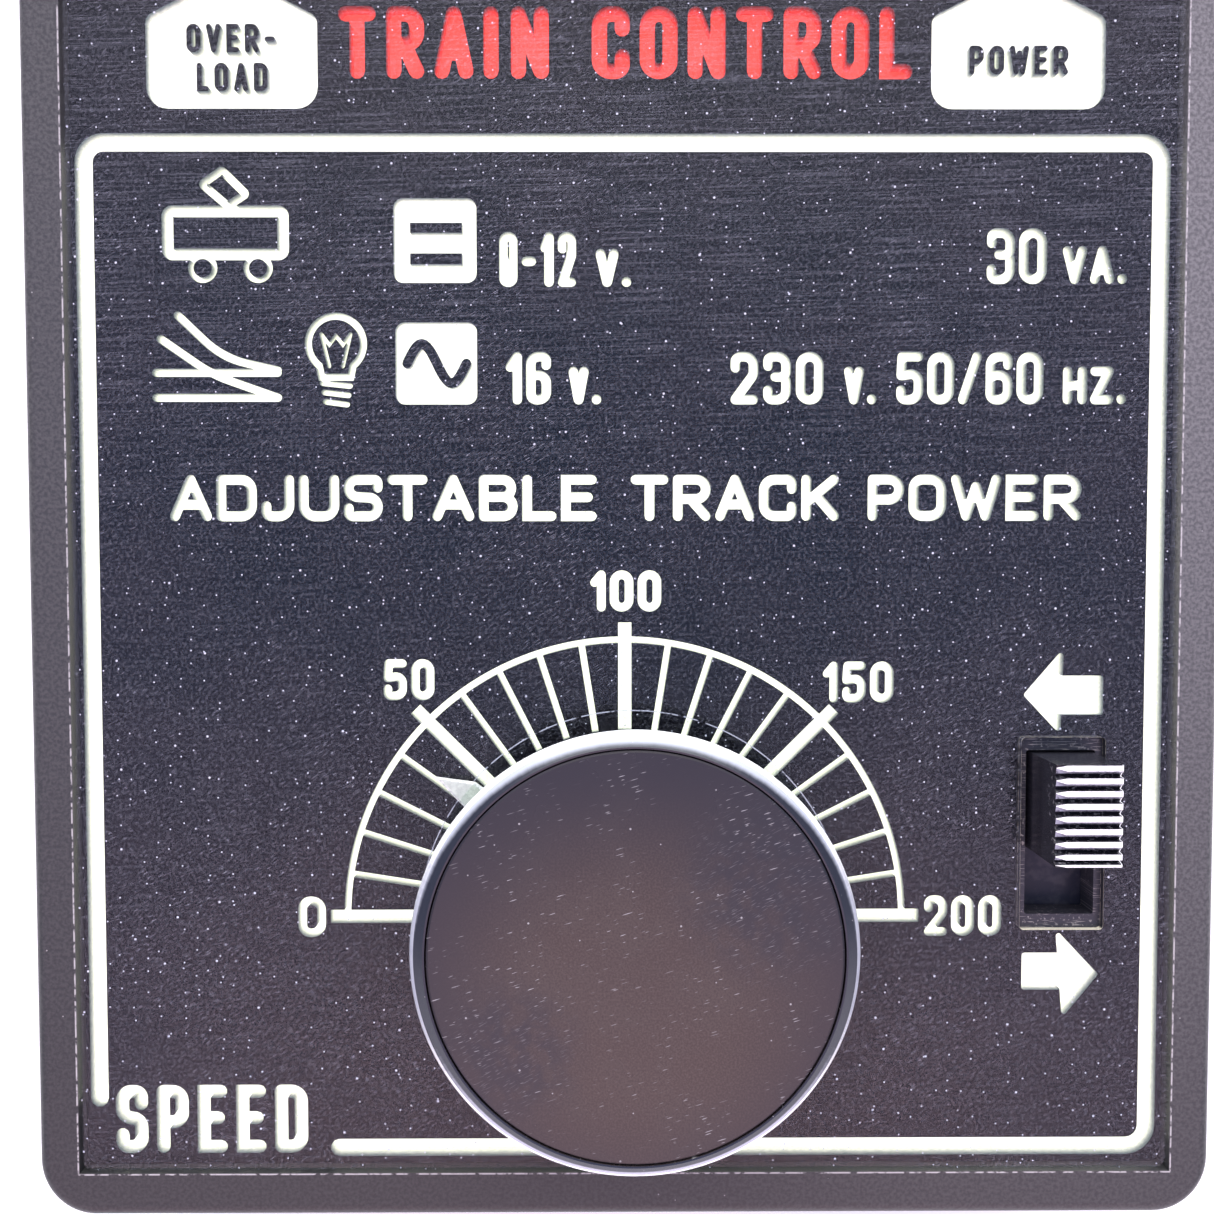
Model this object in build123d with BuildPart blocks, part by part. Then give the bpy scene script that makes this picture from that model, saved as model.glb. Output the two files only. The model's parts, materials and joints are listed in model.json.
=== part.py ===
"""Model-railway speed controller: a sloped desk housing with a mains transformer, a turn knob over a
0 to 200 scale, a slide switch for the running direction and two lamp windows.

Frame: millimetres, +Z up, -Y towards the user, origin on the resting surface under the box's centre.
Panel coordinates: u to the right, v up the slope from the front edge, n out of the sloped face.
"""
from build123d import *
import math
import os

# ---------------------------------------------------------------- driving dimensions
CASE_WIDTH = 122.0
CASE_DEPTH = 144.0
FRONT_HEIGHT = 40.0          # height of the front wall's top edge above the table
PANEL_SLOPE = 15.0           # degrees
CORNER_RADIUS = 5.8          # upright corners
RIM_RADIUS = 1.2             # rounding round the top
WALL = 2.5
FOOT_HEIGHT = 3.5
BASE_THICKNESS = 2.5
CLEARANCE = 0.2              # between casing, base cover and face plate
REAR_PROUD = 8.0             # how far the cable gland stands out at the back

BEZEL = 4.5                  # casing rim left round the face plate
PLATE_WIDTH = 113.2
PLATE_LENGTH = 123.5
PLATE_DROP = 0.6             # face plate front below the casing rim
SKIN = 1.5                   # clear plastic in front of the black paint
RELIEF = 2.25                # how much further back the raised white legend stands
PLATE_DEPTH = 4.5            # total plate thickness at its edge
DECK = 2.4                   # casing floor under the face plate

SCALE_V = 30.8               # centre of the scale, up the slope
SCALE_RADIUS = 29.0
SCALE_LINE = 0.7
TICK_END_RADIUS = 19.6
MAJOR_TICK_RADIUS = 30.8
KNOB_U = 0.75                # the knob's axis stands slightly off the scale's centre
KNOB_V = 30.55
KNOB_ANGLE = 142.5           # pointer direction at rest, from +u towards +v
KNOB_RADIUS = 21.55
KNOB_BOTTOM = 1.2
KNOB_TOP = 11.9
KNOB_BEVEL_RUN = 1.45
KNOB_BEVEL_RISE = 1.2
CAP_RADIUS = 19.9
CAP_FLOOR = 6.0
SKIRT_WALL = 2.0
SKIRT_LIP = 0.4              # rim round the skirt's lower edge
SKIRT_LIP_HEIGHT = 0.7
POINTER_TIP = 25.3
POINTER_SIDES = (0.65, -2.0)     # its sides at the skirt, seen along the pointer from the axis
POINTER_SHOULDERS = (21.2, 21.8)
POINTER_THICKNESS = 0.8
SHAFT_RADIUS = 3.0
SHAFT_TOP = 4.8

SWITCH_U = 45.3
SLOT_LENGTH = 17.0           # deck slot that the slider runs in
SLOT_WIDTH = 7.0
SLOT_V = 39.7                # middle of the slot
SLOT_SUNK = 0.9              # depth of the wider step round the slot in the face plate
SLOT_STEP_WIDTH = 8.7
SLOT_STEP_LENGTH = 20.1
SLIDER_WIDTH = 6.5
SLIDER_LENGTH = 10.1
SLIDER_TOP = 7.1
RIDGE_COUNT = 9
RIDGE_PITCH = 1.25
STOP_GAP = 0.1
SHIELD_WIDTH = 8.6           # thin flange round the slider that keeps dust out of the slot
SHIELD_LENGTH = 24.2
SHIELD_THICKNESS = 0.8
SWITCH_SCREW_SPAN = 34.4     # between the direction switch's two screws

LAMP_U = 40.1
LAMP_V = 118.4

# ---------------------------------------------------------------- derived values
slope = math.radians(PANEL_SLOPE)
panel_length = PLATE_LENGTH + 2 * BEZEL
front_y = -(CASE_DEPTH + REAR_PROUD) / 2
rear_y = front_y + CASE_DEPTH
ridge_y = front_y + panel_length * math.cos(slope)
top_z = FRONT_HEIGHT + panel_length * math.sin(slope)
floor_z = FOOT_HEIGHT + BASE_THICKNESS
plate_v = BEZEL + PLATE_LENGTH / 2
recess_depth = PLATE_DROP + PLATE_DEPTH
deck_bottom = -recess_depth - DECK
black_level = -PLATE_DROP - SKIN
inner_half_width = CASE_WIDTH / 2 - WALL
travel = SLOT_LENGTH - SLIDER_LENGTH - 2 * STOP_GAP
shield_track = SHIELD_LENGTH + travel + 0.4

panel = Plane(origin=(0, front_y, FRONT_HEIGHT), x_dir=(1, 0, 0), z_dir=(0, -math.sin(slope), math.cos(slope)))
knob_axis = Plane(
    origin=panel.from_local_coords((KNOB_U, KNOB_V, 0)), x_dir=(1, 0, 0), z_dir=tuple(panel.z_dir)
)

os.makedirs("parts", exist_ok=True)


def save(builder, label):
    """Label a finished piece and write it as parts/<label>.step."""
    builder.part.label = label
    export_step(builder.part, f"parts/{label}.step")


def height_on(plane):
    """Sorting key: how far a face or edge stands out from a plane."""
    return lambda shape: (shape.center() - plane.origin).dot(plane.z_dir)


# ---------------------------------------------------------------- upper casing
boss_radius = 3.6
boss_x = inner_half_width - boss_radius + 0.6
boss_y = (front_y + WALL + boss_radius - 0.6, rear_y - WALL - boss_radius + 0.6)
boss_places = [(sx * boss_x, y) for y in boss_y for sx in (-1, 1)]
boss_height = 17.0
screw_hole = 1.25

strip_y = (ridge_y + rear_y) / 2 + 0.6
vent_count = 15
vent_pitch = 5.6
vent_size = (9.0, 2.4)

SOCKET_X = {"dc_left": -50.0, "dc_right": -39.0, "ac_left": -27.0, "ac_right": -16.0}
SOCKET_Z = 30.0
COLLAR_RADIUS = 4.6
COLLAR_BODY = 3.4
SLEEVE_RADIUS = 2.1
SOCKET_BORE = 1.3
SLEEVE_LENGTH = 13.0
GLAND_X = 40.0
GLAND_Z = 20.0
GLAND_BODY = 5.5
GLAND_BORE = 3.1

with BuildPart() as cavity:
    with BuildSketch(Plane.YZ):
        with BuildLine():
            step_v = panel_length + 0.8
            ceiling_front = panel.from_local_coords((0, 0, deck_bottom))
            ceiling_rear = panel.from_local_coords((0, step_v, deck_bottom))
            inner_front = front_y + WALL
            front_ceiling_z = ceiling_front.Z + (inner_front - ceiling_front.Y) * math.tan(slope)
            Polyline(
                (inner_front, FOOT_HEIGHT - 1.0),
                (inner_front, front_ceiling_z),
                (ceiling_rear.Y, ceiling_rear.Z),
                (ceiling_rear.Y, top_z - WALL),
                (rear_y - WALL, top_z - WALL),
                (rear_y - WALL, FOOT_HEIGHT - 1.0),
                close=True,
            )
        make_face()
    extrude(amount=inner_half_width, both=True)
    corners = cavity.edges().filter_by(Axis.Z).filter_by(lambda e: abs(e.center().Y - ridge_y) > 12)
    fillet(corners, CORNER_RADIUS - WALL)

with BuildPart() as upper_casing:
    with BuildSketch(Plane.YZ):
        with BuildLine():
            Polyline(
                (front_y, FOOT_HEIGHT),
                (front_y, FRONT_HEIGHT),
                (ridge_y, top_z),
                (rear_y, top_z),
                (rear_y, FOOT_HEIGHT),
                close=True,
            )
        make_face()
    extrude(amount=CASE_WIDTH / 2, both=True)
    fillet(upper_casing.edges().filter_by(Axis.Z), CORNER_RADIUS)
    roof = upper_casing.faces().filter_by(lambda f: f.normal_at().Z > 0.5)
    rim_edges = [
        e for face in roof for e in face.edges()
        if not (abs(e.center().Y - ridge_y) < 0.01 and abs(e.center().X) < 1)
    ]
    fillet(rim_edges, RIM_RADIUS)
    add(cavity.part, mode=Mode.SUBTRACT)
    # recess for the face plate
    with BuildSketch(panel):
        with Locations((0, plate_v)):
            Rectangle(PLATE_WIDTH + CLEARANCE, PLATE_LENGTH + CLEARANCE)
    extrude(amount=-recess_depth, mode=Mode.SUBTRACT)
    # deck openings: control shaft, switch slot, two lamp windows
    with BuildSketch(panel.offset(-recess_depth)):
        with Locations((KNOB_U, KNOB_V)):
            Circle(3.7)
        with Locations((SWITCH_U, SLOT_V)):
            Rectangle(SLOT_WIDTH, SLOT_LENGTH)
        with Locations((-LAMP_U, LAMP_V), (LAMP_U, LAMP_V)):
            Rectangle(16.0, 9.0)
    extrude(amount=-DECK - 1, mode=Mode.SUBTRACT)
    # shallow track that the slider's dust shield runs in
    with BuildSketch(panel.offset(-recess_depth)):
        with Locations((SWITCH_U, SLOT_V)):
            Rectangle(SHIELD_WIDTH + 0.4, shield_track)
    extrude(amount=-SHIELD_THICKNESS - 0.4, mode=Mode.SUBTRACT)
    # pilot holes for the direction switch's two screws
    with BuildSketch(panel.offset(deck_bottom)):
        with Locations(*[(SWITCH_U, SLOT_V + side * SWITCH_SCREW_SPAN / 2) for side in (-1, 1)]):
            Circle(1.1)
    extrude(amount=DECK - 0.4, mode=Mode.SUBTRACT)
    # corner bosses for the casing screws
    with BuildSketch(Plane.XY.offset(floor_z)):
        with Locations(*boss_places):
            Circle(boss_radius)
    extrude(amount=boss_height)
    with BuildSketch(Plane.XY.offset(floor_z)):
        with Locations(*boss_places):
            Circle(screw_hole)
    extrude(amount=boss_height - 3, mode=Mode.SUBTRACT)
    # vents in the flat strip behind the panel
    with BuildSketch(Plane.XY.offset(top_z)):
        with Locations((0, strip_y)):
            with GridLocations(vent_pitch, 1, vent_count, 1):
                SlotOverall(*vent_size, rotation=90)
    extrude(amount=-WALL - 1, mode=Mode.SUBTRACT)
    # holes in the rear wall for the output sockets and the mains gland
    with BuildSketch(Plane.XZ.offset(-rear_y)):
        with Locations(*[(x, SOCKET_Z) for x in SOCKET_X.values()]):
            Circle(COLLAR_BODY + 0.1)
        with Locations((GLAND_X, GLAND_Z)):
            Circle(GLAND_BODY + 0.1)
    extrude(amount=WALL + 1, mode=Mode.SUBTRACT)
save(upper_casing, "upper_casing")

# ---------------------------------------------------------------- base cover, feet, screws
TRANSFORMER_X = 22.0
TRANSFORMER_Y = 28.0
CORE_WIDTH = 66.0
CORE_LENGTH = 55.0
CORE_STACK = 26.0
CORE_LEG = 22.0
COIL_BULGE = 7.0
CORE_BOLT_DX = 27.5
CORE_BOLT_DY = 22.0
CORE_POST = 8.5
BOARD_X = -10.0
BOARD_Y = -38.0
BOARD_WIDTH = 84.0
BOARD_LENGTH = 54.0
BOARD_POST = 6.0
BOARD_THICKNESS = 1.6
BOARD_INSET = 4.0

core_bolts = [
    (TRANSFORMER_X + sx * CORE_BOLT_DX, TRANSFORMER_Y + sy * CORE_BOLT_DY)
    for sx in (-1, 1) for sy in (-1, 1)
]
board_screws = [
    (BOARD_X + sx * (BOARD_WIDTH / 2 - BOARD_INSET), BOARD_Y + sy * (BOARD_LENGTH / 2 - BOARD_INSET))
    for sx in (-1, 1) for sy in (-1, 1)
]
case_middle_y = (front_y + rear_y) / 2

with BuildPart() as base_cover:
    with BuildSketch(Plane.XY.offset(FOOT_HEIGHT)):
        with Locations((0, case_middle_y)):
            RectangleRounded(
                CASE_WIDTH - 2 * (WALL + CLEARANCE),
                CASE_DEPTH - 2 * (WALL + CLEARANCE),
                CORNER_RADIUS - WALL - CLEARANCE,
            )
        with Locations(*boss_places):
            Circle(1.7, mode=Mode.SUBTRACT)
        with Locations((TRANSFORMER_X - 11, TRANSFORMER_Y)):
            with GridLocations(7, 22, 7, 2):
                SlotOverall(16, 2.4, rotation=90, mode=Mode.SUBTRACT)
    extrude(amount=BASE_THICKNESS)
    with BuildSketch(Plane.XY.offset(floor_z)):
        with Locations(*core_bolts):
            Circle(4.2)
    extrude(amount=CORE_POST)
    with BuildSketch(Plane.XY.offset(floor_z)):
        with Locations(*board_screws):
            Circle(3.0)
    extrude(amount=BOARD_POST)
    with BuildSketch(Plane.XY.offset(floor_z + CORE_POST)):
        with Locations(*core_bolts):
            Circle(1.8)
    extrude(amount=-CORE_POST, mode=Mode.SUBTRACT)
    with BuildSketch(Plane.XY.offset(floor_z + BOARD_POST)):
        with Locations(*board_screws):
            Circle(1.1)
    extrude(amount=-BOARD_POST, mode=Mode.SUBTRACT)
save(base_cover, "base_cover")

foot_places = [(sx * 42.0, y) for y in (front_y + 20, rear_y - 20) for sx in (-1, 1)]
with BuildPart() as rubber_feet:
    with BuildSketch(Plane.XY):
        with Locations(*foot_places):
            Circle(6.5)
    extrude(amount=FOOT_HEIGHT)
    chamfer(rubber_feet.edges().group_by(Axis.Z)[0], 0.8)
save(rubber_feet, "rubber_feet")

with BuildPart() as casing_screws:
    with BuildSketch(Plane.XY.offset(FOOT_HEIGHT - 1.8)):
        with Locations(*boss_places):
            Circle(2.8)
    extrude(amount=1.8)
    with BuildSketch(Plane.XY.offset(FOOT_HEIGHT)):
        with Locations(*boss_places):
            Circle(screw_hole - 0.02)
    extrude(amount=12)
    with BuildSketch(Plane.XY.offset(FOOT_HEIGHT - 1.8)):
        with Locations(*boss_places):
            Rectangle(4.4, 0.8)
            Rectangle(0.8, 4.4)
    extrude(amount=0.9, mode=Mode.SUBTRACT)
save(casing_screws, "casing_screws")

# ---------------------------------------------------------------- clear face plate
FRAME_HALF_WIDTH = 56.0
FRAME_BOTTOM = 5.3
FRAME_TOP = 111.5
FRAME_LINE = 1.7
FRAME_RADIUS = 2.9
LEGEND_GAP = (-60.0, -30.2)      # where the frame's bottom line stops for the lettering
WINDOW_WIDTH = 17.6
WINDOW_BOTTOM = 114.2
WINDOW_SHOULDER = 123.3
WINDOW_PEAK = 126.5
frame_middle_v = (FRAME_BOTTOM + FRAME_TOP) / 2
frame_length = FRAME_TOP - FRAME_BOTTOM


def arrow(u, v, direction):
    """Block arrow, 8.3 long, its tip towards +u or -u."""
    points = [(-4.15, 2.0), (0.0, 2.0), (0.0, 4.6), (4.15, 0.0), (0.0, -4.6), (0.0, -2.0), (-4.15, -2.0)]
    with Locations((u, v)):
        Polygon(*[(direction * x, y) for x, y in points], align=None)


with BuildPart() as face_plate:
    with BuildSketch(panel.offset(-PLATE_DROP)):
        with Locations((0, plate_v)):
            Rectangle(PLATE_WIDTH, PLATE_LENGTH)
    extrude(amount=-SKIN)
    # edge wall and the collars that stand on the deck
    with BuildSketch(panel.offset(black_level)):
        with Locations((0, plate_v)):
            Rectangle(PLATE_WIDTH, PLATE_LENGTH)
            Rectangle(PLATE_WIDTH - 2.4, PLATE_LENGTH - 2.4, mode=Mode.SUBTRACT)
        with Locations((KNOB_U, KNOB_V)):
            Circle(9.4)
        with Locations((SWITCH_U, SLOT_V)):
            Rectangle(SLOT_STEP_WIDTH + 2.4, SLOT_STEP_LENGTH + 2.4)
    extrude(amount=-(PLATE_DEPTH - SKIN))
    # raised legend on the back: frame line, scale, lamp windows, symbol boxes and arrows
    with BuildSketch(panel.offset(black_level)):
        with Locations((0, frame_middle_v)):
            RectangleRounded(2 * FRAME_HALF_WIDTH, frame_length, FRAME_RADIUS)
            RectangleRounded(
                2 * (FRAME_HALF_WIDTH - FRAME_LINE), frame_length - 2 * FRAME_LINE,
                FRAME_RADIUS - FRAME_LINE, mode=Mode.SUBTRACT,
            )
        with Locations((sum(LEGEND_GAP) / 2, FRAME_BOTTOM + 4)):
            Rectangle(LEGEND_GAP[1] - LEGEND_GAP[0], 9.5, mode=Mode.SUBTRACT)
    extrude(amount=-RELIEF)
    with BuildSketch(panel.offset(black_level)):
        with Locations((0, SCALE_V)):
            Circle(SCALE_RADIUS + SCALE_LINE / 2)
            Circle(SCALE_RADIUS - SCALE_LINE / 2, mode=Mode.SUBTRACT)
        with Locations((0, SCALE_V - 20)):
            Rectangle(80, 40, mode=Mode.SUBTRACT)
        minor_length = SCALE_RADIUS - TICK_END_RADIUS
        major_length = MAJOR_TICK_RADIUS - TICK_END_RADIUS
        with Locations((0, SCALE_V)):
            with PolarLocations(TICK_END_RADIUS + minor_length / 2, 21, 0, 189, endpoint=False):
                Rectangle(minor_length, SCALE_LINE)
            with PolarLocations(TICK_END_RADIUS + major_length / 2, 5, 0, 225, endpoint=False):
                Rectangle(major_length, 2 * SCALE_LINE)
    extrude(amount=-RELIEF)
    with BuildSketch(panel.offset(black_level)):
        for side in (-1, 1):
            with Locations((side * LAMP_U, 0)):
                Polygon(
                    (-WINDOW_WIDTH / 2, WINDOW_BOTTOM), (WINDOW_WIDTH / 2, WINDOW_BOTTOM),
                    (WINDOW_WIDTH / 2, WINDOW_SHOULDER), (0, WINDOW_PEAK),
                    (-WINDOW_WIDTH / 2, WINDOW_SHOULDER), align=None,
                )
        with Locations((-19.4, 100.8), (-19.4, 88.3)):
            RectangleRounded(8.6, 8.6, 1.0)
        arrow(45.6, 54.0, -1)
        arrow(45.6, 24.7, 1)
    extrude(amount=-RELIEF)
    # holes for the control shaft's nut and the slider, the slider's with a sunk step round it
    with BuildSketch(panel):
        with Locations((KNOB_U, KNOB_V)):
            Circle(7.6)
        with Locations((SWITCH_U, SLOT_V)):
            Rectangle(SLOT_WIDTH + 0.2, SLOT_LENGTH + 0.2)
    extrude(amount=-recess_depth, mode=Mode.SUBTRACT)
    with BuildSketch(panel):
        with Locations((SWITCH_U, SLOT_V)):
            Rectangle(SLOT_STEP_WIDTH, SLOT_STEP_LENGTH)
    extrude(amount=-PLATE_DROP - SLOT_SUNK, mode=Mode.SUBTRACT)
save(face_plate, "face_plate")

# ---------------------------------------------------------------- speed knob
with BuildPart() as speed_knob:
    with BuildSketch(knob_axis.offset(KNOB_BOTTOM)):
        Circle(KNOB_RADIUS)
    extrude(amount=KNOB_TOP - KNOB_BOTTOM)
    top_edge = speed_knob.edges().filter_by(GeomType.CIRCLE).sort_by(height_on(knob_axis))[-1]
    top_face = speed_knob.faces().sort_by(height_on(knob_axis))[-1]
    chamfer(top_edge, KNOB_BEVEL_RUN, KNOB_BEVEL_RISE, reference=top_face)
    with BuildSketch(knob_axis.offset(KNOB_BOTTOM)):
        Circle(KNOB_RADIUS + SKIRT_LIP)
    extrude(amount=SKIRT_LIP_HEIGHT)
    with BuildSketch(knob_axis.offset(KNOB_TOP)):
        Circle(CAP_RADIUS + 0.05)
    extrude(amount=-(KNOB_TOP - CAP_FLOOR), mode=Mode.SUBTRACT)
    with BuildSketch(knob_axis.offset(KNOB_BOTTOM)):
        Circle(KNOB_RADIUS - SKIRT_WALL)
        Circle(5.5, mode=Mode.SUBTRACT)
    extrude(amount=CAP_FLOOR - KNOB_BOTTOM - 1.0, mode=Mode.SUBTRACT)
    with BuildSketch(knob_axis.offset(KNOB_BOTTOM)):
        Circle(SHAFT_RADIUS + 0.02)
        with Locations((SHAFT_RADIUS - 0.7 + 1.0, 0)):
            Rectangle(2.0, 8.0, mode=Mode.SUBTRACT)
    extrude(amount=SHAFT_TOP - KNOB_BOTTOM + 0.1, mode=Mode.SUBTRACT)
save(speed_knob, "speed_knob")

with BuildPart() as knob_cap:
    with BuildSketch(knob_axis.offset(CAP_FLOOR)):
        Circle(CAP_RADIUS)
    extrude(amount=KNOB_TOP - 0.1 - CAP_FLOOR)
save(knob_cap, "knob_cap")

pointer_turn = math.radians(KNOB_ANGLE)
pointer_plane = Plane(
    origin=knob_axis.from_local_coords((0, 0, KNOB_BOTTOM)),
    x_dir=knob_axis.x_dir * math.cos(pointer_turn) + knob_axis.y_dir * math.sin(pointer_turn),
    z_dir=tuple(panel.z_dir),
)
pointer_root = KNOB_RADIUS - SKIRT_WALL
with BuildPart() as knob_pointer:
    with BuildSketch(pointer_plane):
        Polygon(
            (POINTER_TIP, 0), (POINTER_SHOULDERS[0], POINTER_SIDES[0]), (pointer_root, POINTER_SIDES[0]),
            (pointer_root, POINTER_SIDES[1]), (POINTER_SHOULDERS[1], POINTER_SIDES[1]), align=None,
        )
    extrude(amount=-POINTER_THICKNESS)
save(knob_pointer, "knob_pointer")

# ---------------------------------------------------------------- speed control (potentiometer)
CONTROL_RADIUS = 10.0
BUSH_RADIUS = 3.6
front_plate_low = deck_bottom - 1.6
wafer_low = front_plate_low - 1.6
can_low = wafer_low - 7.3
wiper_high = wafer_low - 0.3
washer_high = -recess_depth + 0.6
nut_high = washer_high + 2.0

with BuildPart() as control_shaft:
    with BuildSketch(knob_axis.offset(can_low + 1.5)):
        Circle(SHAFT_RADIUS)
    extrude(amount=SHAFT_TOP - can_low - 1.5)
    with BuildSketch(knob_axis.offset(0)):
        with Locations((SHAFT_RADIUS - 0.72 + 1.0, 0)):
            Rectangle(2.0, 8.0)
    extrude(amount=SHAFT_TOP, mode=Mode.SUBTRACT)
save(control_shaft, "control_shaft")

with BuildPart() as control_wiper:
    with BuildSketch(knob_axis.offset(wiper_high)):
        Circle(4.6)
        with Locations((4.6, 0)):
            Rectangle(5.6, 2.6)
        Circle(SHAFT_RADIUS, mode=Mode.SUBTRACT)
    extrude(amount=-1.2)
save(control_wiper, "control_wiper")

with BuildPart() as control_bush:
    with BuildSketch(knob_axis.offset(deck_bottom)):
        Circle(CONTROL_RADIUS)
    extrude(amount=front_plate_low - deck_bottom)
    with BuildSketch(knob_axis.offset(deck_bottom)):
        Circle(BUSH_RADIUS)
    extrude(amount=nut_high + 0.3 - deck_bottom)
    with BuildSketch(knob_axis.offset(front_plate_low)):
        Circle(SHAFT_RADIUS + 0.05)
    extrude(amount=nut_high + 0.3 - front_plate_low, mode=Mode.SUBTRACT)
save(control_bush, "control_bush")

with BuildPart() as control_track:
    with BuildSketch(knob_axis.offset(front_plate_low)):
        Circle(CONTROL_RADIUS)
        with Locations((0, -CONTROL_RADIUS)):
            Rectangle(13, 6)
        Circle(SHAFT_RADIUS + 0.6, mode=Mode.SUBTRACT)
    extrude(amount=wafer_low - front_plate_low)
save(control_track, "control_track")

with BuildPart() as control_terminals:
    with BuildSketch(knob_axis.offset(wafer_low)):
        with Locations((-4.5, -CONTROL_RADIUS - 4.0), (0, -CONTROL_RADIUS - 4.0), (4.5, -CONTROL_RADIUS - 4.0)):
            Rectangle(2.2, 7.0)
            Circle(0.5, mode=Mode.SUBTRACT)
    extrude(amount=-0.5)
save(control_terminals, "control_terminals")

with BuildPart() as control_can:
    with BuildSketch(knob_axis.offset(wafer_low)):
        Circle(CONTROL_RADIUS)
    extrude(amount=can_low - wafer_low)
    with BuildSketch(knob_axis.offset(wafer_low)):
        Circle(CONTROL_RADIUS - 0.6)
    extrude(amount=can_low - wafer_low + 0.6, mode=Mode.SUBTRACT)
    # gap in the can's rim for the terminals
    with BuildSketch(knob_axis.offset(wafer_low)):
        with Locations((0, -CONTROL_RADIUS)):
            Rectangle(13, 5)
    extrude(amount=-1.0, mode=Mode.SUBTRACT)
save(control_can, "control_can")

with BuildPart() as control_washer:
    with BuildSketch(knob_axis.offset(-recess_depth)):
        Circle(6.6)
        Circle(BUSH_RADIUS + 0.1, mode=Mode.SUBTRACT)
    extrude(amount=washer_high + recess_depth)
save(control_washer, "control_washer")

with BuildPart() as control_nut:
    with BuildSketch(knob_axis.offset(washer_high)):
        RegularPolygon(5.5, 6, major_radius=False)
        Circle(BUSH_RADIUS + 0.02, mode=Mode.SUBTRACT)
    extrude(amount=nut_high - washer_high)
save(control_nut, "control_nut")

# ---------------------------------------------------------------- direction switch
slider_v = SLOT_V + SLOT_LENGTH / 2 - STOP_GAP - SLIDER_LENGTH / 2
stem_length = 4.0
carrier_length = 8.0
frame_low = deck_bottom - 0.8
housing_low = frame_low - 6.4
base_low = housing_low - 1.5
carrier_high = frame_low - 1.0
cavity_length = carrier_length + travel + 0.8
mean_v = slider_v - travel / 2
ridge_depth = 0.9


def place(u, v, n=0.0):
    """Horizontal-in-the-panel plane through panel point (u, v) at height n."""
    return Plane(origin=panel.from_local_coords((u, v, n)), x_dir=(1, 0, 0), z_dir=tuple(panel.z_dir))


with BuildPart() as direction_slider:
    with BuildSketch(place(SWITCH_U, slider_v, deck_bottom + 0.4)):
        Rectangle(SLIDER_WIDTH, SLIDER_LENGTH)
    extrude(amount=SLIDER_TOP - deck_bottom - 0.4)
    # finger ridges across the top
    with BuildSketch(place(SWITCH_U, slider_v, SLIDER_TOP)):
        with GridLocations(1, RIDGE_PITCH, 1, RIDGE_COUNT - 1):
            Rectangle(SLIDER_WIDTH, RIDGE_PITCH * 0.42)
    extrude(amount=-ridge_depth, mode=Mode.SUBTRACT)
    with BuildSketch(place(SWITCH_U, slider_v, -recess_depth - 0.3)):
        Rectangle(SHIELD_WIDTH, SHIELD_LENGTH)
    extrude(amount=-SHIELD_THICKNESS)
    with BuildSketch(place(SWITCH_U, slider_v, deck_bottom + 0.4)):
        Rectangle(3.0, stem_length)
    extrude(amount=carrier_high - deck_bottom - 0.4)
save(direction_slider, "direction_slider")

with BuildPart() as contact_carrier:
    with BuildSketch(place(SWITCH_U, slider_v, carrier_high)):
        Rectangle(9.0, carrier_length)
    extrude(amount=-3.0)
save(contact_carrier, "contact_carrier")

with BuildPart() as sliding_contacts:
    with BuildSketch(place(SWITCH_U, slider_v, carrier_high - 3.0)):
        with GridLocations(5.0, 1, 2, 1):
            Rectangle(1.6, 6.4)
    extrude(amount=-1.9)
save(sliding_contacts, "sliding_contacts")

with BuildPart() as switch_frame:
    with BuildSketch(place(SWITCH_U, SLOT_V, deck_bottom)):
        RectangleRounded(13.0, SWITCH_SCREW_SPAN + 5.6, 1.5)
        with GridLocations(1, SWITCH_SCREW_SPAN, 1, 2):
            Circle(1.2, mode=Mode.SUBTRACT)
        Rectangle(3.6, stem_length + travel + 0.8, mode=Mode.SUBTRACT)
    extrude(amount=-0.8)
save(switch_frame, "switch_frame")

with BuildPart() as switch_housing:
    with BuildSketch(place(SWITCH_U, SLOT_V, frame_low)):
        Rectangle(12.0, 22.0)
    extrude(amount=housing_low - frame_low)
    with BuildSketch(place(SWITCH_U, SLOT_V, housing_low)):
        Rectangle(9.6, cavity_length)
    extrude(amount=carrier_high + 0.2 - housing_low, mode=Mode.SUBTRACT)
    with BuildSketch(place(SWITCH_U, SLOT_V, frame_low)):
        Rectangle(3.6, stem_length + travel + 0.8)
    extrude(amount=-2.0, mode=Mode.SUBTRACT)
save(switch_housing, "switch_housing")

terminal_grid = (5.0, 6.6, 2, 3)
with BuildPart() as switch_base:
    with BuildSketch(place(SWITCH_U, SLOT_V, housing_low)):
        Rectangle(12.0, 22.0)
        with GridLocations(*terminal_grid):
            Rectangle(1.7, 0.8, mode=Mode.SUBTRACT)
    extrude(amount=-1.5)
save(switch_base, "switch_base")

with BuildPart() as switch_terminals:
    with BuildSketch(place(SWITCH_U, SLOT_V, housing_low)):
        with GridLocations(*terminal_grid):
            Rectangle(1.6, 0.6)
    extrude(amount=-5.5)
    with BuildSketch(place(SWITCH_U, SLOT_V, housing_low)):
        with GridLocations(*terminal_grid):
            Rectangle(2.2, 2.0)
    extrude(amount=0.4)
save(switch_terminals, "switch_terminals")

with BuildPart() as switch_screws:
    with BuildSketch(place(SWITCH_U, SLOT_V, frame_low)):
        with GridLocations(1, SWITCH_SCREW_SPAN, 1, 2):
            Circle(2.1)
    extrude(amount=-1.4)
    with BuildSketch(place(SWITCH_U, SLOT_V, frame_low)):
        with GridLocations(1, SWITCH_SCREW_SPAN, 1, 2):
            Circle(1.08)
    extrude(amount=0.8 + DECK - 0.6)
save(switch_screws, "switch_screws")

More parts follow.
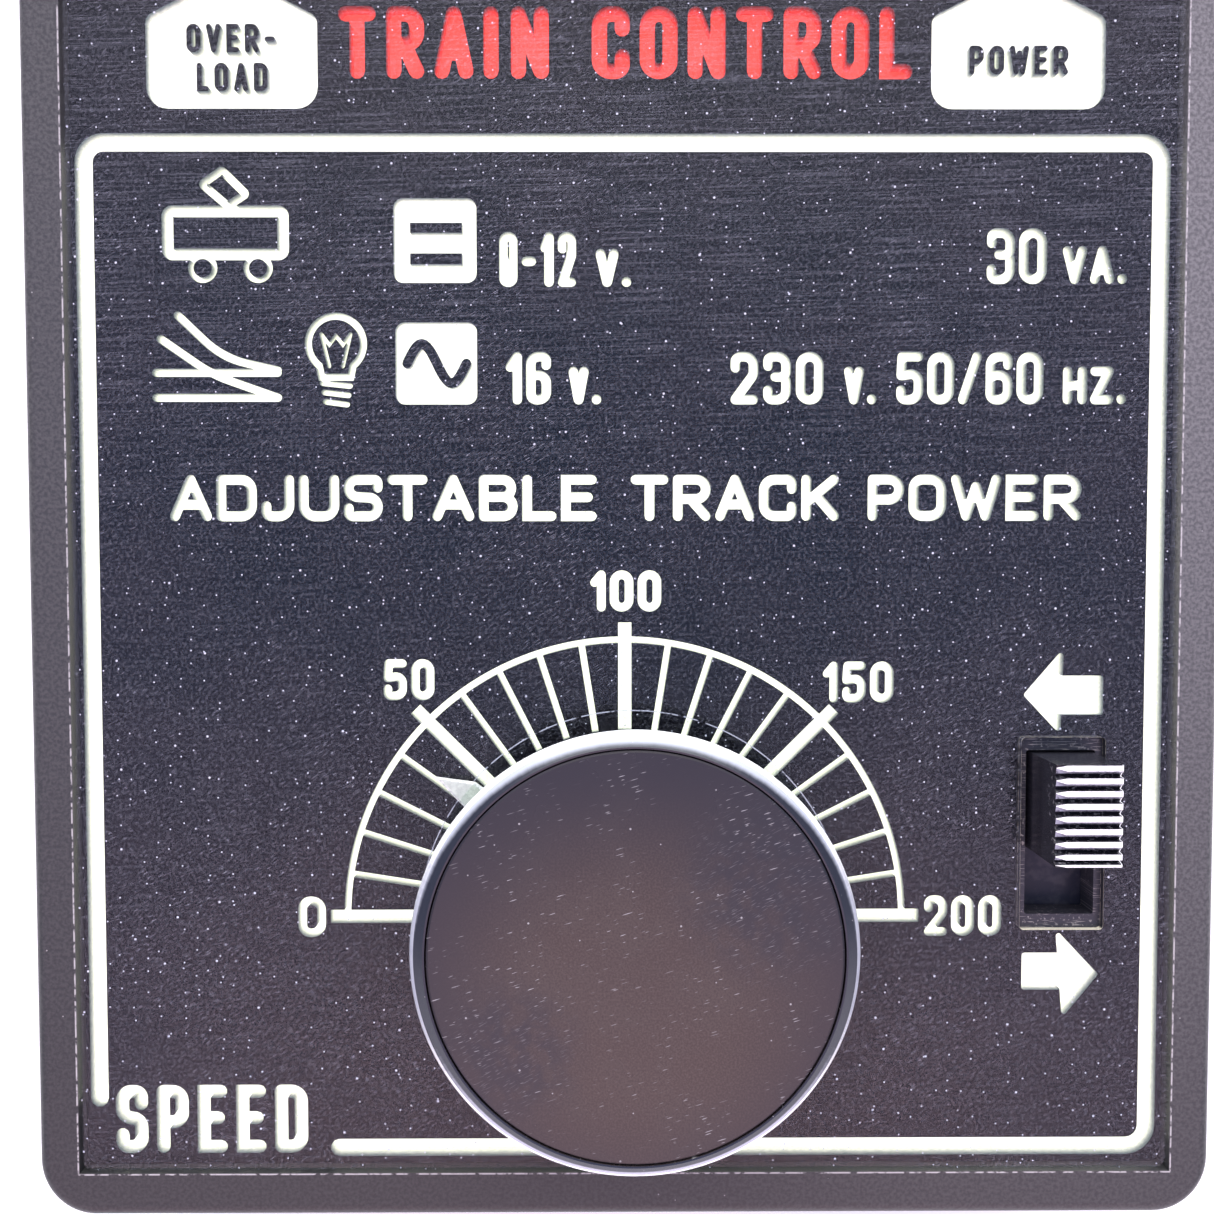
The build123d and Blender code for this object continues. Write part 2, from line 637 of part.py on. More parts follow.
# ---------------------------------------------------------------- lamps behind the two windows
for side, lamp in ((-1, "overload_lamp"), (1, "power_lamp")):
    lamp_plane = place(side * LAMP_U, LAMP_V, deck_bottom)
    with BuildPart() as shroud:
        with BuildSketch(lamp_plane):
            Rectangle(19.0, 12.0)
        extrude(amount=-12.0)
        with BuildSketch(lamp_plane):
            Rectangle(16.0, 9.0)
        extrude(amount=-10.8, mode=Mode.SUBTRACT)
        with BuildSketch(lamp_plane.offset(-12.0)):
            Circle(3.7)
        extrude(amount=2.0, mode=Mode.SUBTRACT)
    save(shroud, f"{lamp}_shroud")
    with BuildPart() as holder:
        with BuildSketch(lamp_plane.offset(-14.5)):
            Circle(3.6)
            Circle(2.2, mode=Mode.SUBTRACT)
        extrude(amount=6.0)
        with BuildSketch(lamp_plane.offset(-15.5)):
            Circle(3.6)
        extrude(amount=1.0)
    save(holder, f"{lamp}_holder")
    with BuildPart() as bulb:
        with BuildSketch(lamp_plane.offset(-14.4)):
            Circle(2.1)
        extrude(amount=9.5)
        fillet(bulb.edges().filter_by(GeomType.CIRCLE).sort_by(height_on(lamp_plane))[-1], 2.0)
    save(bulb, f"{lamp}_bulb")

# ---------------------------------------------------------------- transformer
core_low = floor_z + CORE_POST
core_high = core_low + CORE_STACK
window_length = CORE_LENGTH - CORE_LEG
coil_half_width = CORE_LEG - 0.3
coil_low = core_low - COIL_BULGE
coil_high = core_high + COIL_BULGE
coil_middle_z = (core_low + core_high) / 2
tube_half_width = CORE_LEG / 2 + 1.2
tube_half_height = CORE_STACK / 2 + 1.2
flange = 1.2

with BuildPart() as transformer_core:
    with BuildSketch(Plane.XY.offset(core_low)):
        with Locations((TRANSFORMER_X, TRANSFORMER_Y)):
            Rectangle(CORE_WIDTH, CORE_LENGTH)
            with GridLocations(CORE_LEG + CORE_LEG / 2, 1, 2, 1):
                Rectangle(CORE_LEG / 2, window_length, mode=Mode.SUBTRACT)
        with Locations(*core_bolts):
            Circle(2.0, mode=Mode.SUBTRACT)
    extrude(amount=CORE_STACK)
save(transformer_core, "transformer_core")

coil_plane = Plane(origin=(TRANSFORMER_X, TRANSFORMER_Y, coil_middle_z), x_dir=(1, 0, 0), z_dir=(0, -1, 0))
flange_reach = window_length / 2 - 0.3
with BuildPart() as coil_former:
    with BuildSketch(coil_plane.offset(-flange_reach)):
        Rectangle(2 * tube_half_width, 2 * tube_half_height)
    extrude(amount=2 * flange_reach)
    for place_y in (-flange_reach, -flange / 2, flange_reach - flange):
        with BuildSketch(coil_plane.offset(place_y)):
            RectangleRounded(2 * coil_half_width, coil_high - coil_low, 1.5)
        extrude(amount=flange)
    with BuildSketch(coil_plane.offset(-flange_reach)):
        Rectangle(CORE_LEG + 0.2, CORE_STACK + 0.2)
    extrude(amount=2 * flange_reach, mode=Mode.SUBTRACT)
save(coil_former, "coil_former")

winding_length = flange_reach - 1.5 * flange - 0.2
for label, start in (
    ("primary_winding", flange / 2 + 0.1),
    ("secondary_winding", -flange / 2 - 0.1 - winding_length),
):
    with BuildPart() as winding:
        with BuildSketch(coil_plane.offset(start)):
            RectangleRounded(2 * coil_half_width - 1.2, coil_high - coil_low - 1.2, 4.0)
            Rectangle(2 * tube_half_width + 0.1, 2 * tube_half_height + 0.1, mode=Mode.SUBTRACT)
        extrude(amount=winding_length)
    save(winding, label)

with BuildPart() as transformer_bolts:
    with BuildSketch(Plane.XY.offset(floor_z + 1.0)):
        with Locations(*core_bolts):
            Circle(1.75)
    extrude(amount=core_high - floor_z - 1.0)
    with BuildSketch(Plane.XY.offset(core_high)):
        with Locations(*core_bolts):
            RegularPolygon(3.0, 6, major_radius=False)
    extrude(amount=2.4)
save(transformer_bolts, "transformer_bolts")

# ---------------------------------------------------------------- regulator board and its parts
board_low = floor_z + BOARD_POST
board_high = board_low + BOARD_THICKNESS

with BuildPart() as circuit_board:
    with BuildSketch(Plane.XY.offset(board_low)):
        with Locations((BOARD_X, BOARD_Y)):
            Rectangle(BOARD_WIDTH, BOARD_LENGTH)
        with Locations(*board_screws):
            Circle(1.5, mode=Mode.SUBTRACT)
    extrude(amount=BOARD_THICKNESS)
save(circuit_board, "circuit_board")

with BuildPart() as board_screw_set:
    with BuildSketch(Plane.XY.offset(board_high)):
        with Locations(*board_screws):
            Circle(2.4)
    extrude(amount=1.5)
    with BuildSketch(Plane.XY.offset(board_high)):
        with Locations(*board_screws):
            Circle(1.08)
    extrude(amount=-5.5)
save(board_screw_set, "board_screws")

with BuildPart() as smoothing_capacitor:
    with BuildSketch(Plane.XY.offset(board_high + 0.3)):
        with Locations((-36, -22)):
            Circle(8.0)
    extrude(amount=24)
    fillet(smoothing_capacitor.edges().group_by(Axis.Z)[-1], 0.8)
    with BuildSketch(Plane.XY.offset(board_high)):
        with Locations((-38.5, -22), (-33.5, -22)):
            Circle(0.4)
    extrude(amount=0.3)
save(smoothing_capacitor, "smoothing_capacitor")

with BuildPart() as rectifier_bridge:
    with BuildSketch(Plane.XY.offset(board_high + 2.0)):
        with Locations((-14, -22)):
            Rectangle(15, 15)
    extrude(amount=6)
    with BuildSketch(Plane.XY.offset(board_high)):
        with Locations((-14, -22)):
            with GridLocations(10, 10, 2, 2):
                Circle(0.6)
    extrude(amount=2.0)
save(rectifier_bridge, "rectifier_bridge")

with BuildPart() as overload_cutout:
    with BuildSketch(Plane.XY.offset(board_high)):
        with Locations((12, -22)):
            Rectangle(14, 16)
    extrude(amount=15)
    chamfer(overload_cutout.edges().group_by(Axis.Z)[-1], 0.6)
save(overload_cutout, "overload_cutout")

resistor_radius = 1.7
with BuildPart() as resistors:
    for row in range(4):
        resistor_plane = Plane(
            origin=(-42, -58 + 6 * row, board_high + resistor_radius), x_dir=(0, 1, 0), z_dir=(1, 0, 0)
        )
        with BuildSketch(resistor_plane):
            Circle(resistor_radius)
        extrude(amount=9.0)
save(resistors, "resistors")

# ---------------------------------------------------------------- heat sink and power transistor
SINK_X = -27.0
SINK_Y = 23.0
SINK_LENGTH = 44.0
SINK_HEIGHT = 34.0
SINK_BACK = 3.0
FIN_REACH = 16.0
fin_count = 7

with BuildPart() as heat_sink:
    with BuildSketch(Plane.XY.offset(floor_z)):
        with Locations((SINK_X - SINK_BACK / 2, SINK_Y)):
            Rectangle(SINK_BACK, SINK_LENGTH)
        with Locations((SINK_X - SINK_BACK - FIN_REACH / 2, SINK_Y)):
            with GridLocations(1, (SINK_LENGTH - 2.0) / (fin_count - 1), 1, fin_count):
                Rectangle(FIN_REACH, 2.0)
    extrude(amount=SINK_HEIGHT)
save(heat_sink, "heat_sink")

transistor_plane = Plane(
    origin=(SINK_X, SINK_Y, floor_z + SINK_HEIGHT / 2), x_dir=(0, 1, 0), z_dir=(1, 0, 0)
)
with BuildPart() as power_transistor:
    with BuildSketch(transistor_plane):
        with BuildLine():
            l1 = Line((-19.5, 3.0), (-4, 12.8))
            l2 = Line((4, 12.8), (19.5, 3.0))
            l3 = Line((19.5, -3.0), (4, -12.8))
            l4 = Line((-4, -12.8), (-19.5, -3.0))
            Line(l1 @ 1, l2 @ 0)
            Line(l2 @ 1, l3 @ 0)
            Line(l3 @ 1, l4 @ 0)
            Line(l4 @ 1, l1 @ 0)
        make_face()
        with GridLocations(30.2, 1, 2, 1):
            Circle(1.8, mode=Mode.SUBTRACT)
    extrude(amount=1.6)
    with BuildSketch(transistor_plane.offset(1.6)):
        Circle(9.6)
    extrude(amount=5.6)
    fillet(power_transistor.edges().group_by(Axis.X)[-1], 1.0)
save(power_transistor, "power_transistor")

with BuildPart() as transistor_screws:
    with BuildSketch(transistor_plane.offset(1.6)):
        with GridLocations(30.2, 1, 2, 1):
            Circle(2.6)
    extrude(amount=1.6)
    with BuildSketch(transistor_plane.offset(1.6)):
        with GridLocations(30.2, 1, 2, 1):
            Circle(1.7)
    extrude(amount=-1.6)
save(transistor_screws, "transistor_screws")

# ---------------------------------------------------------------- mains terminal block and fuse
with BuildPart() as mains_terminal_block:
    with BuildSketch(Plane.XY.offset(floor_z)):
        with Locations((47, -20)):
            Rectangle(14, 24)
    extrude(amount=11)
    with BuildSketch(Plane.XY.offset(floor_z + 11)):
        with Locations((47, -20)):
            with GridLocations(1, 8, 1, 2):
                Circle(2.0)
    extrude(amount=-5, mode=Mode.SUBTRACT)
save(mains_terminal_block, "mains_terminal_block")

with BuildPart() as terminal_screws:
    with BuildSketch(Plane.XY.offset(floor_z + 6)):
        with Locations((47, -20)):
            with GridLocations(1, 8, 1, 2):
                Circle(1.9)
    extrude(amount=3.5)
save(terminal_screws, "terminal_screws")

fuse_z = floor_z + 6.0
with BuildPart() as fuse_holder:
    with BuildSketch(Plane.XY.offset(floor_z)):
        with Locations((47, -50)):
            Rectangle(10, 26)
    extrude(amount=2.0)
    with BuildSketch(Plane.XY.offset(floor_z + 2.0)):
        with Locations((47, -59), (47, -41)):
            Rectangle(8, 3.4)
    extrude(amount=6.0)
    with BuildSketch(Plane.XZ.offset(30)):
        with Locations((47, fuse_z)):
            Circle(2.55)
        with Locations((47, fuse_z + 2.5)):
            Rectangle(4.2, 5)
    extrude(amount=40, mode=Mode.SUBTRACT)
save(fuse_holder, "fuse_holder")

with BuildPart() as mains_fuse:
    with BuildSketch(Plane.XZ.offset(40)):
        with Locations((47, fuse_z)):
            Circle(2.5)
    extrude(amount=20)
save(mains_fuse, "mains_fuse")

# ---------------------------------------------------------------- output sockets and mains gland
rear_plane = Plane(origin=(0, rear_y, 0), x_dir=(-1, 0, 0), z_dir=(0, 1, 0))
for label, x in SOCKET_X.items():
    with BuildPart() as collar:
        with BuildSketch(rear_plane):
            with Locations((-x, SOCKET_Z)):
                Circle(COLLAR_RADIUS)
        extrude(amount=1.5)
        with BuildSketch(rear_plane):
            with Locations((-x, SOCKET_Z)):
                Circle(COLLAR_BODY)
        extrude(amount=-6.5)
        with BuildSketch(rear_plane.offset(1.5)):
            with Locations((-x, SOCKET_Z)):
                Circle(SLEEVE_RADIUS + 0.02)
        extrude(amount=-8.0, mode=Mode.SUBTRACT)
    save(collar, f"{label}_socket_collar")
    with BuildPart() as sleeve:
        with BuildSketch(rear_plane.offset(1.2)):
            with Locations((-x, SOCKET_Z)):
                Circle(SLEEVE_RADIUS)
                Circle(SOCKET_BORE, mode=Mode.SUBTRACT)
        extrude(amount=-SLEEVE_LENGTH)
    save(sleeve, f"{label}_socket_sleeve")

with BuildPart() as mains_gland:
    with BuildSketch(rear_plane):
        with Locations((-GLAND_X, GLAND_Z)):
            Circle(GLAND_BODY + 2.0)
    extrude(amount=2.0)
    with BuildSketch(rear_plane.offset(2.0)):
        with Locations((-GLAND_X, GLAND_Z)):
            Circle(GLAND_BODY)
    extrude(amount=REAR_PROUD - 2.0, taper=6)
    with BuildSketch(rear_plane):
        with Locations((-GLAND_X, GLAND_Z)):
            Circle(GLAND_BODY)
    extrude(amount=-4.5)
    with BuildSketch(rear_plane.offset(REAR_PROUD)):
        with Locations((-GLAND_X, GLAND_Z)):
            Circle(GLAND_BORE)
    extrude(amount=-REAR_PROUD - 4.5, mode=Mode.SUBTRACT)
save(mains_gland, "mains_gland")

with BuildPart() as gland_clip:
    with BuildSketch(rear_plane.offset(-WALL)):
        with Locations((-GLAND_X, GLAND_Z)):
            RegularPolygon(8.0, 6, major_radius=False)
            Circle(GLAND_BODY + 0.05, mode=Mode.SUBTRACT)
    extrude(amount=-1.8)
save(gland_clip, "gland_clip")
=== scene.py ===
"""Looks of a train set controller: sloped black housing, clear face plate with a moulded legend, speed knob,
direction slider and two lamp windows. Lengths are in millimetres until MM turns them into metres."""

import json
import math

import bpy
from mathutils import Matrix, Vector
from mathutils.geometry import delaunay_2d_cdt


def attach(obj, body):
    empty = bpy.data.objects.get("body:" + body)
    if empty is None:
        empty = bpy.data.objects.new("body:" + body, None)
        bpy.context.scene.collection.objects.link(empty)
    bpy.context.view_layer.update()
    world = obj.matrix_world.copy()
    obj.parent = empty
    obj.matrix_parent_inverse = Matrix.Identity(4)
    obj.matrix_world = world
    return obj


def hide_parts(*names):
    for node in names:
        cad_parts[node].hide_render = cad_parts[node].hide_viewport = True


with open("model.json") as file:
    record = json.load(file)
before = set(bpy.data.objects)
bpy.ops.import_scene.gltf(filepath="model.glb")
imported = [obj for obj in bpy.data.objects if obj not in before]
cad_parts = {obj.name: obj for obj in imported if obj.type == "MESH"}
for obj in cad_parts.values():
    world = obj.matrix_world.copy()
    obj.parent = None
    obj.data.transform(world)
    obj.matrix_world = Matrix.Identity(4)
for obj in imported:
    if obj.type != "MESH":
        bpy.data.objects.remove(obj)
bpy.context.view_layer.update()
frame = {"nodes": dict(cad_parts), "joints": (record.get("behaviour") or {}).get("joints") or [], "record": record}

MM = 0.001

# ----------------------------------------------------------
# The panel's own axes: u to the right, v up the slope, n out of the panel. Its origin is the middle of the
# casing's front edge.
# ----------------------------------------------------------
JOINTS = {joint["name"]: joint for joint in frame["joints"]}
AXIS_N = Vector(JOINTS["speed_turn"]["axis"])
AXIS_V = Vector(JOINTS["direction_slide"]["axis"])
AXIS_U = AXIS_V.cross(AXIS_N)
SCALE_V = 30.8
KNOB_U, KNOB_V = 0.75, 30.55
ORIGIN = Vector(JOINTS["speed_turn"]["pos_m"]) - (AXIS_U * KNOB_U + AXIS_V * KNOB_V) * MM
PANEL = Matrix.Translation(ORIGIN) @ Matrix((AXIS_U, AXIS_V, AXIS_N)).transposed().to_4x4()
SLOPE = math.atan2(AXIS_V.z, AXIS_V.y)

PLATE_FRONT = -0.6
BLACK_LEVEL = -2.1
WHITE_LEVEL = -4.35
PLATE_BACK = -5.1
PLATE_HALF_WIDTH = 56.6
PLATE_LOW, PLATE_HIGH = 4.5, 128.0
PLATE_CORNER = 1.2


# ----------------------------------------------------------
# Node materials
# ----------------------------------------------------------
class Nodes:
    """Shader nodes under construction. Sizes are in millimetres, and texture coordinates in metres."""

    def __init__(self, tree, coords, dimensions="3D"):
        self.tree, self.dimensions = tree, dimensions
        tree.nodes.clear()
        self.coords = self.add("ShaderNodeTexCoord").outputs[coords]

    def add(self, kind, inputs=None, **settings):
        node = self.tree.nodes.new(kind)
        for key, value in settings.items():
            setattr(node, key, value)
        for key, value in (inputs or {}).items():
            socket = node.inputs[key]
            if isinstance(value, bpy.types.NodeSocket):
                self.tree.links.new(value, socket)
            else:
                socket.default_value = value
        return node

    def stretched(self, x=1.0, y=1.0, z=1.0, turn=0.0):
        """Coordinates turned by an angle, then drawn out x, y and z times."""
        inputs = {"Vector": self.coords, "Scale": (x, y, z), "Rotation": (0, 0, turn)}
        return self.add("ShaderNodeMapping", inputs, vector_type="TEXTURE").outputs[0]

    def noise(self, size, detail=2.0, where=None):
        """Noise whose features are about size millimetres across."""
        return self.add("ShaderNodeTexNoise", {"Vector": where or self.coords, "Scale": 1000 / size,
                                               "Detail": detail, "Roughness": 0.55},
                        noise_dimensions=self.dimensions).outputs["Fac"]

    def span(self, value, low, high, to_low=0.0, to_high=1.0, smooth=True):
        """Maps low..high to to_low..to_high, and holds it there outside."""
        return self.add("ShaderNodeMapRange", {"Value": value, "From Min": low, "From Max": high,
                                               "To Min": to_low, "To Max": to_high},
                        interpolation_type="SMOOTHSTEP" if smooth else "LINEAR").outputs[0]

    def math(self, operation, a, b=0.0, clamp=False):
        return self.add("ShaderNodeMath", {0: a, 1: b}, operation=operation, use_clamp=clamp).outputs[0]

    def blend(self, share, a, b):
        """Mix of two colours."""
        node = self.add("ShaderNodeMix", data_type="RGBA", clamp_factor=True)
        for socket, value in ((node.inputs[0], share), (node.inputs[6], a), (node.inputs[7], b)):
            if isinstance(value, bpy.types.NodeSocket):
                self.tree.links.new(value, socket)
            else:
                socket.default_value = value if isinstance(value, float) else (*value, 1)
        return node.outputs[2]

    def split(self, where=None):
        return self.add("ShaderNodeSeparateXYZ", {0: where or self.coords}).outputs

    def specks(self, spacing, radius, share):
        """Small round specks, one in that share of the cells."""
        voronoi = self.add("ShaderNodeTexVoronoi", {"Vector": self.coords, "Scale": 1000 / spacing},
                           feature="F1", voronoi_dimensions=self.dimensions)
        near = self.span(voronoi.outputs["Distance"], radius / spacing, 0.45 * radius / spacing)
        pick = self.split(voronoi.outputs["Color"])[0]
        return self.math("MULTIPLY", near, self.span(pick, 1 - share, 1 - share + 0.02))

    def streaks(self, length, width, low, high, turn=0.0):
        """Fine parallel scratches across the piece's third axis."""
        return self.span(self.noise(1.0, 0.0, where=self.stretched(length, width, 20.0, turn)), low, high)

    def bump(self, height, depth):
        """A bump whose height of 1 stands for depth millimetres."""
        return self.add("ShaderNodeBump", {"Height": height, "Distance": depth * MM}).outputs[0]

    def principled(self, **inputs):
        names = {key.replace("_", " ").title().replace("Ior", "IOR"): value for key, value in inputs.items()}
        return self.add("ShaderNodeBsdfPrincipled", names).outputs[0]


class Finish(Nodes):
    """A procedural material, on its piece's own coordinates or, for a CAD piece, on the panel's."""

    def __init__(self, name, panel=False, flat=False):
        self.material = bpy.data.materials.new(name)
        self.material.use_nodes = True
        super().__init__(self.material.node_tree, "Object", "2D" if flat else "3D")
        if panel:
            inputs = {"Vector": self.coords, "Location": ORIGIN, "Rotation": (SLOPE, 0, 0)}
            self.coords = self.add("ShaderNodeMapping", inputs, vector_type="TEXTURE").outputs[0]

    def done(self, shader):
        self.add("ShaderNodeOutputMaterial", {"Surface": shader})
        return self.material


def shade(colour, factor):
    return tuple(c * factor for c in colour)


def plastic(name, colour, rough, grain=(0.35, 0.012), specular=0.5):
    """Moulded plastic: slight colour variation, fine texture, rubbed spots and dust specks. grain is the
    texture's size and depth in millimetres."""
    f = Finish(name)
    cloud = f.noise(7.0)
    base = f.blend(f.span(cloud, 0.3, 0.7), shade(colour, 0.75), shade(colour, 1.25))
    base = f.blend(f.math("MULTIPLY", f.specks(2.4, 0.11, 0.3), 0.35), base, (0.55, 0.55, 0.53))
    roughness = f.span(cloud, 0.3, 0.7, rough * 0.8, rough * 1.25)
    normal = f.bump(f.noise(grain[0], 1.0), grain[1])
    return f.done(f.principled(base_color=base, roughness=roughness, normal=normal,
                               specular_ior_level=specular))


def metal(name, colour, rough, brushed=(1, 1, 1)):
    """Plated or turned metal with tarnished, duller patches. brushed draws its fine texture out along x, y
    and z."""
    f = Finish(name)
    cloud = f.noise(4.0)
    base = f.blend(f.span(cloud, 0.52, 0.75, 0.0, 0.3), colour, (0.25, 0.2, 0.15))
    roughness = f.span(cloud, 0.3, 0.7, rough * 1.3, rough * 0.75)
    normal = f.bump(f.noise(0.25, 1.0, where=f.stretched(*brushed)), 0.006)
    return f.done(f.principled(base_color=base, roughness=roughness, metallic=1.0, normal=normal))


# ----------------------------------------------------------
# Plane shapes, as lists of (u, v) points that run anticlockwise
# ----------------------------------------------------------
def rounded(points, radii, steps=6):
    """A path through the points, with each inner corner turned into an arc of its radius."""
    path = [Vector(points[0])]
    for before, corner, after, radius in zip(points, points[1:], points[2:], radii):
        a, c, b = Vector(before), Vector(corner), Vector(after)
        to_a, to_b = (a - c).normalized(), (b - c).normalized()
        turn = to_a.angle(to_b)
        if radius <= 0 or turn > math.pi - 0.01:
            path.append(c)
            continue
        reach = min(radius / math.tan(turn / 2), 0.5 * (a - c).length, 0.5 * (b - c).length)
        radius = reach * math.tan(turn / 2)
        centre = c + (to_a + to_b).normalized() * (radius / math.sin(turn / 2))
        first = c + to_a * reach - centre
        sweep = math.pi - turn
        side = 1 if (c - a).cross(b - c) > 0 else -1
        for k in range(steps + 1):
            path.append(centre + Matrix.Rotation(side * sweep * k / steps, 2) @ first)
    path.append(Vector(points[-1]))
    return path


def loop(points, radii, steps=6):
    """A closed outline with rounded corners, which starts and ends in the middle of its last side."""
    middle = (Vector(points[0]) + Vector(points[-1])) / 2
    return rounded([middle, *points, middle], radii, steps)[:-1]


def anticlockwise(points):
    area = sum(p.x * q.y - q.x * p.y for p, q in zip(points, points[1:] + points[:1]))
    return points if area > 0 else points[::-1]


def ribbon(path, half, steps=5, caps=True):
    """The outline of a stroke of constant width along an open path, with round or square ends."""
    clean = [path[0]]
    for p in path[1:]:
        if (p - clean[-1]).length > 1e-4:
            clean.append(p)
    left, right = [], []
    for k, p in enumerate(clean):
        into = (p - clean[k - 1]).normalized() if k else None
        out = (clean[k + 1] - p).normalized() if k + 1 < len(clean) else None
        into, out = into or out, out or into
        along = (into + out).normalized()
        side = Vector((-along.y, along.x)) * half / max(0.35, along.dot(out))
        left.append(p + side)
        right.append(p - side)
    start, end = [], []
    if caps:
        for k in range(1, steps):
            turn = Matrix.Rotation(-math.pi * k / steps, 2)
            end.append(clean[-1] + turn @ (left[-1] - clean[-1]))
            start.append(clean[0] + turn @ (right[0] - clean[0]))
    return anticlockwise(left + end + right[::-1] + start)


def ring(outline, half):
    """A stroke of constant width along a closed outline, as two ribbons that overlap at their ends."""
    cut = len(outline) // 2
    return [ribbon(outline[:cut + 1], half), ribbon(outline[cut:] + outline[:1], half)]


def disc(u, v, radius, steps=40):
    return [Vector((u + radius * math.cos(a), v + radius * math.sin(a)))
            for a in (2 * math.pi * k / steps for k in range(steps))]


def box(u0, v0, u1, v1, radius=0.0):
    corners = [(u0, v0), (u1, v0), (u1, v1), (u0, v1)]
    if radius <= 0:
        return [Vector(c) for c in corners]
    return anticlockwise(loop(corners, [radius] * 4))


def arc(u, v, radius, start, end, steps=60):
    return [Vector((u + radius * math.cos(a), v + radius * math.sin(a)))
            for a in (math.radians(start + (end - start) * k / steps) for k in range(steps + 1))]


# ----------------------------------------------------------
# Lettering of even strokes with round ends. Each glyph is its width and its strokes on a unit square: "o"
# closes a stroke, and corners marked r are rounded.
# ----------------------------------------------------------
GLYPHS = {
    "A": (1.05, ["0,0 .5,1", ".5,1 1,0", ".18,.32 .82,.32"]),
    "B": (0.95, ["0,0 0,1", "0,1 .95,1r .95,.53r 0,.53", "0,.53 1,.53r 1,0r 0,0"]),
    "C": (1.0, ["1,.74 1,1r 0,1r 0,0r 1,0r 1,.26"]),
    "D": (1.0, ["0,0 0,1", "0,1 1,1r 1,0r 0,0"]),
    "E": (0.85, ["1,1 0,1 0,0 1,0", "0,.52 .85,.52"]),
    "G": (1.0, ["1,.76 1,1r 0,1r 0,0r 1,0r 1,.46 .6,.46"]),
    "H": (1.0, ["0,0 0,1", "1,0 1,1", "0,.5 1,.5"]),
    "I": (0.1, ["0,0 0,1"]),
    "J": (0.75, ["0,.28 0,0r 1,0r 1,1"]),
    "K": (1.0, ["0,0 0,1", "0,.36 1,1", ".34,.58 1,0"]),
    "L": (0.8, ["0,1 0,0 1,0"]),
    "N": (1.0, ["0,0 0,1", "0,1 1,0", "1,0 1,1"]),
    "O": (1.0, ["o 0,0r 1,0r 1,1r 0,1r"]),
    "P": (0.95, ["0,0 0,1", "0,1 1,1r 1,.45r 0,.45"]),
    "R": (1.0, ["0,0 0,1", "0,1 1,1r 1,.47r 0,.47", ".45,.47 1,0"]),
    "S": (0.95, ["1,.78 1,1r 0,1r 0,.54r 1,.5r 1,0r 0,0r 0,.22"]),
    "T": (1.0, ["0,1 1,1", ".5,1 .5,0"]),
    "U": (1.0, ["0,1 0,0r 1,0r 1,1"]),
    "V": (1.05, ["0,1 .5,0", ".5,0 1,1"]),
    "W": (1.45, ["0,1 .26,0", ".26,0 .5,.8", ".5,.8 .74,0", ".74,0 1,1"]),
    "Z": (0.95, ["0,1 1,1", "1,1 0,0", "0,0 1,0"]),
    "0": (1.0, ["o 0,0r 1,0r 1,1r 0,1r"]),
    "1": (0.45, ["0,.76 1,1", "1,1 1,0"]),
    "2": (1.0, ["0,.74 0,1r 1,1r 1,.58r 0,0", "0,0 1,0"]),
    "3": (1.0, ["0,.78 0,1r 1,1r 1,.53r .4,.53", ".4,.53 1,.53r 1,0r 0,0r 0,.22"]),
    "5": (1.0, ["1,1 .06,1", ".06,1 0,.56", "0,.56 1,.62r 1,0r 0,0r 0,.22"]),
    "6": (1.0, ["1,.8 1,1r 0,1r 0,.4", "o 0,0r 1,0r 1,.57r 0,.57r"]),
    "-": (0.6, ["0,.46 1,.46"]),
    "/": (0.8, ["0,0 1,1"]),
    ".": (0.02, ["0,0 0,.02"]),
    " ": (0.35, []),
}


def strokes(glyph):
    """Each stroke as (closed, points, rounded corner flags)."""
    for path in GLYPHS[glyph][1]:
        words = path.split()
        closed = words[0] == "o"
        words = words[1:] if closed else words
        flags = [w.endswith("r") for w in words]
        yield closed, [tuple(map(float, w.rstrip("r").split(","))) for w in words], flags


def lettering(text, u0, v0, u1, v1, half, gap):
    """The outlines of a line of text that fills the box. half is half a stroke's width, and gap the space
    between letters in millimetres."""
    unit = (u1 - u0 - 2 * half * len(text) - gap * (len(text) - 1)) / sum(GLYPHS[c][0] for c in text)
    height = v1 - v0 - 2 * half
    outlines = []
    u = u0 + half
    for c in text:
        width = GLYPHS[c][0] * unit
        curve = min(0.5 * max(width, 0.1), 0.3 * height)
        for closed, points, flags in strokes(c):
            at = [(u + x * width, v0 + half + y * height) for x, y in points]
            if closed:
                outlines += ring(loop(at, [curve] * len(at)), half)
            else:
                radii = [curve if f else 0 for f in flags[1:-1]]
                outlines.append(ribbon(rounded(at, radii), half))
        u += width + 2 * half + gap
    return outlines


# ----------------------------------------------------------
# The legend: what shows white, red or black, later shapes over earlier ones
# ----------------------------------------------------------
legend = []


def mark(colour, *outlines):
    legend.extend((colour, outline) for outline in outlines)


def stroke(half, *points):
    """A stroke through (u, v) points."""
    return ribbon([Vector(p) for p in points], half)


WINDOW_LOW, WINDOW_EAVES, WINDOW_RIDGE = 114.1, 123.35, 126.5
WINDOW_RIDGE_HALF = 2.6


def window(left, right):
    """A lamp window with a roof-shaped top."""
    middle = (left + right) / 2
    corners = [(left, WINDOW_LOW), (right, WINDOW_LOW), (right, WINDOW_EAVES),
               (middle + WINDOW_RIDGE_HALF, WINDOW_RIDGE), (middle - WINDOW_RIDGE_HALF, WINDOW_RIDGE),
               (left, WINDOW_EAVES)]
    return anticlockwise(loop(corners, [2.2, 2.2, 1.2, 2.0, 2.0, 1.2]))


SCALE_RADIUS = 29.0
TICK_INNER = 19.6
MAJOR_TICK_OUTER = 30.8
THIN_LINE = 0.35


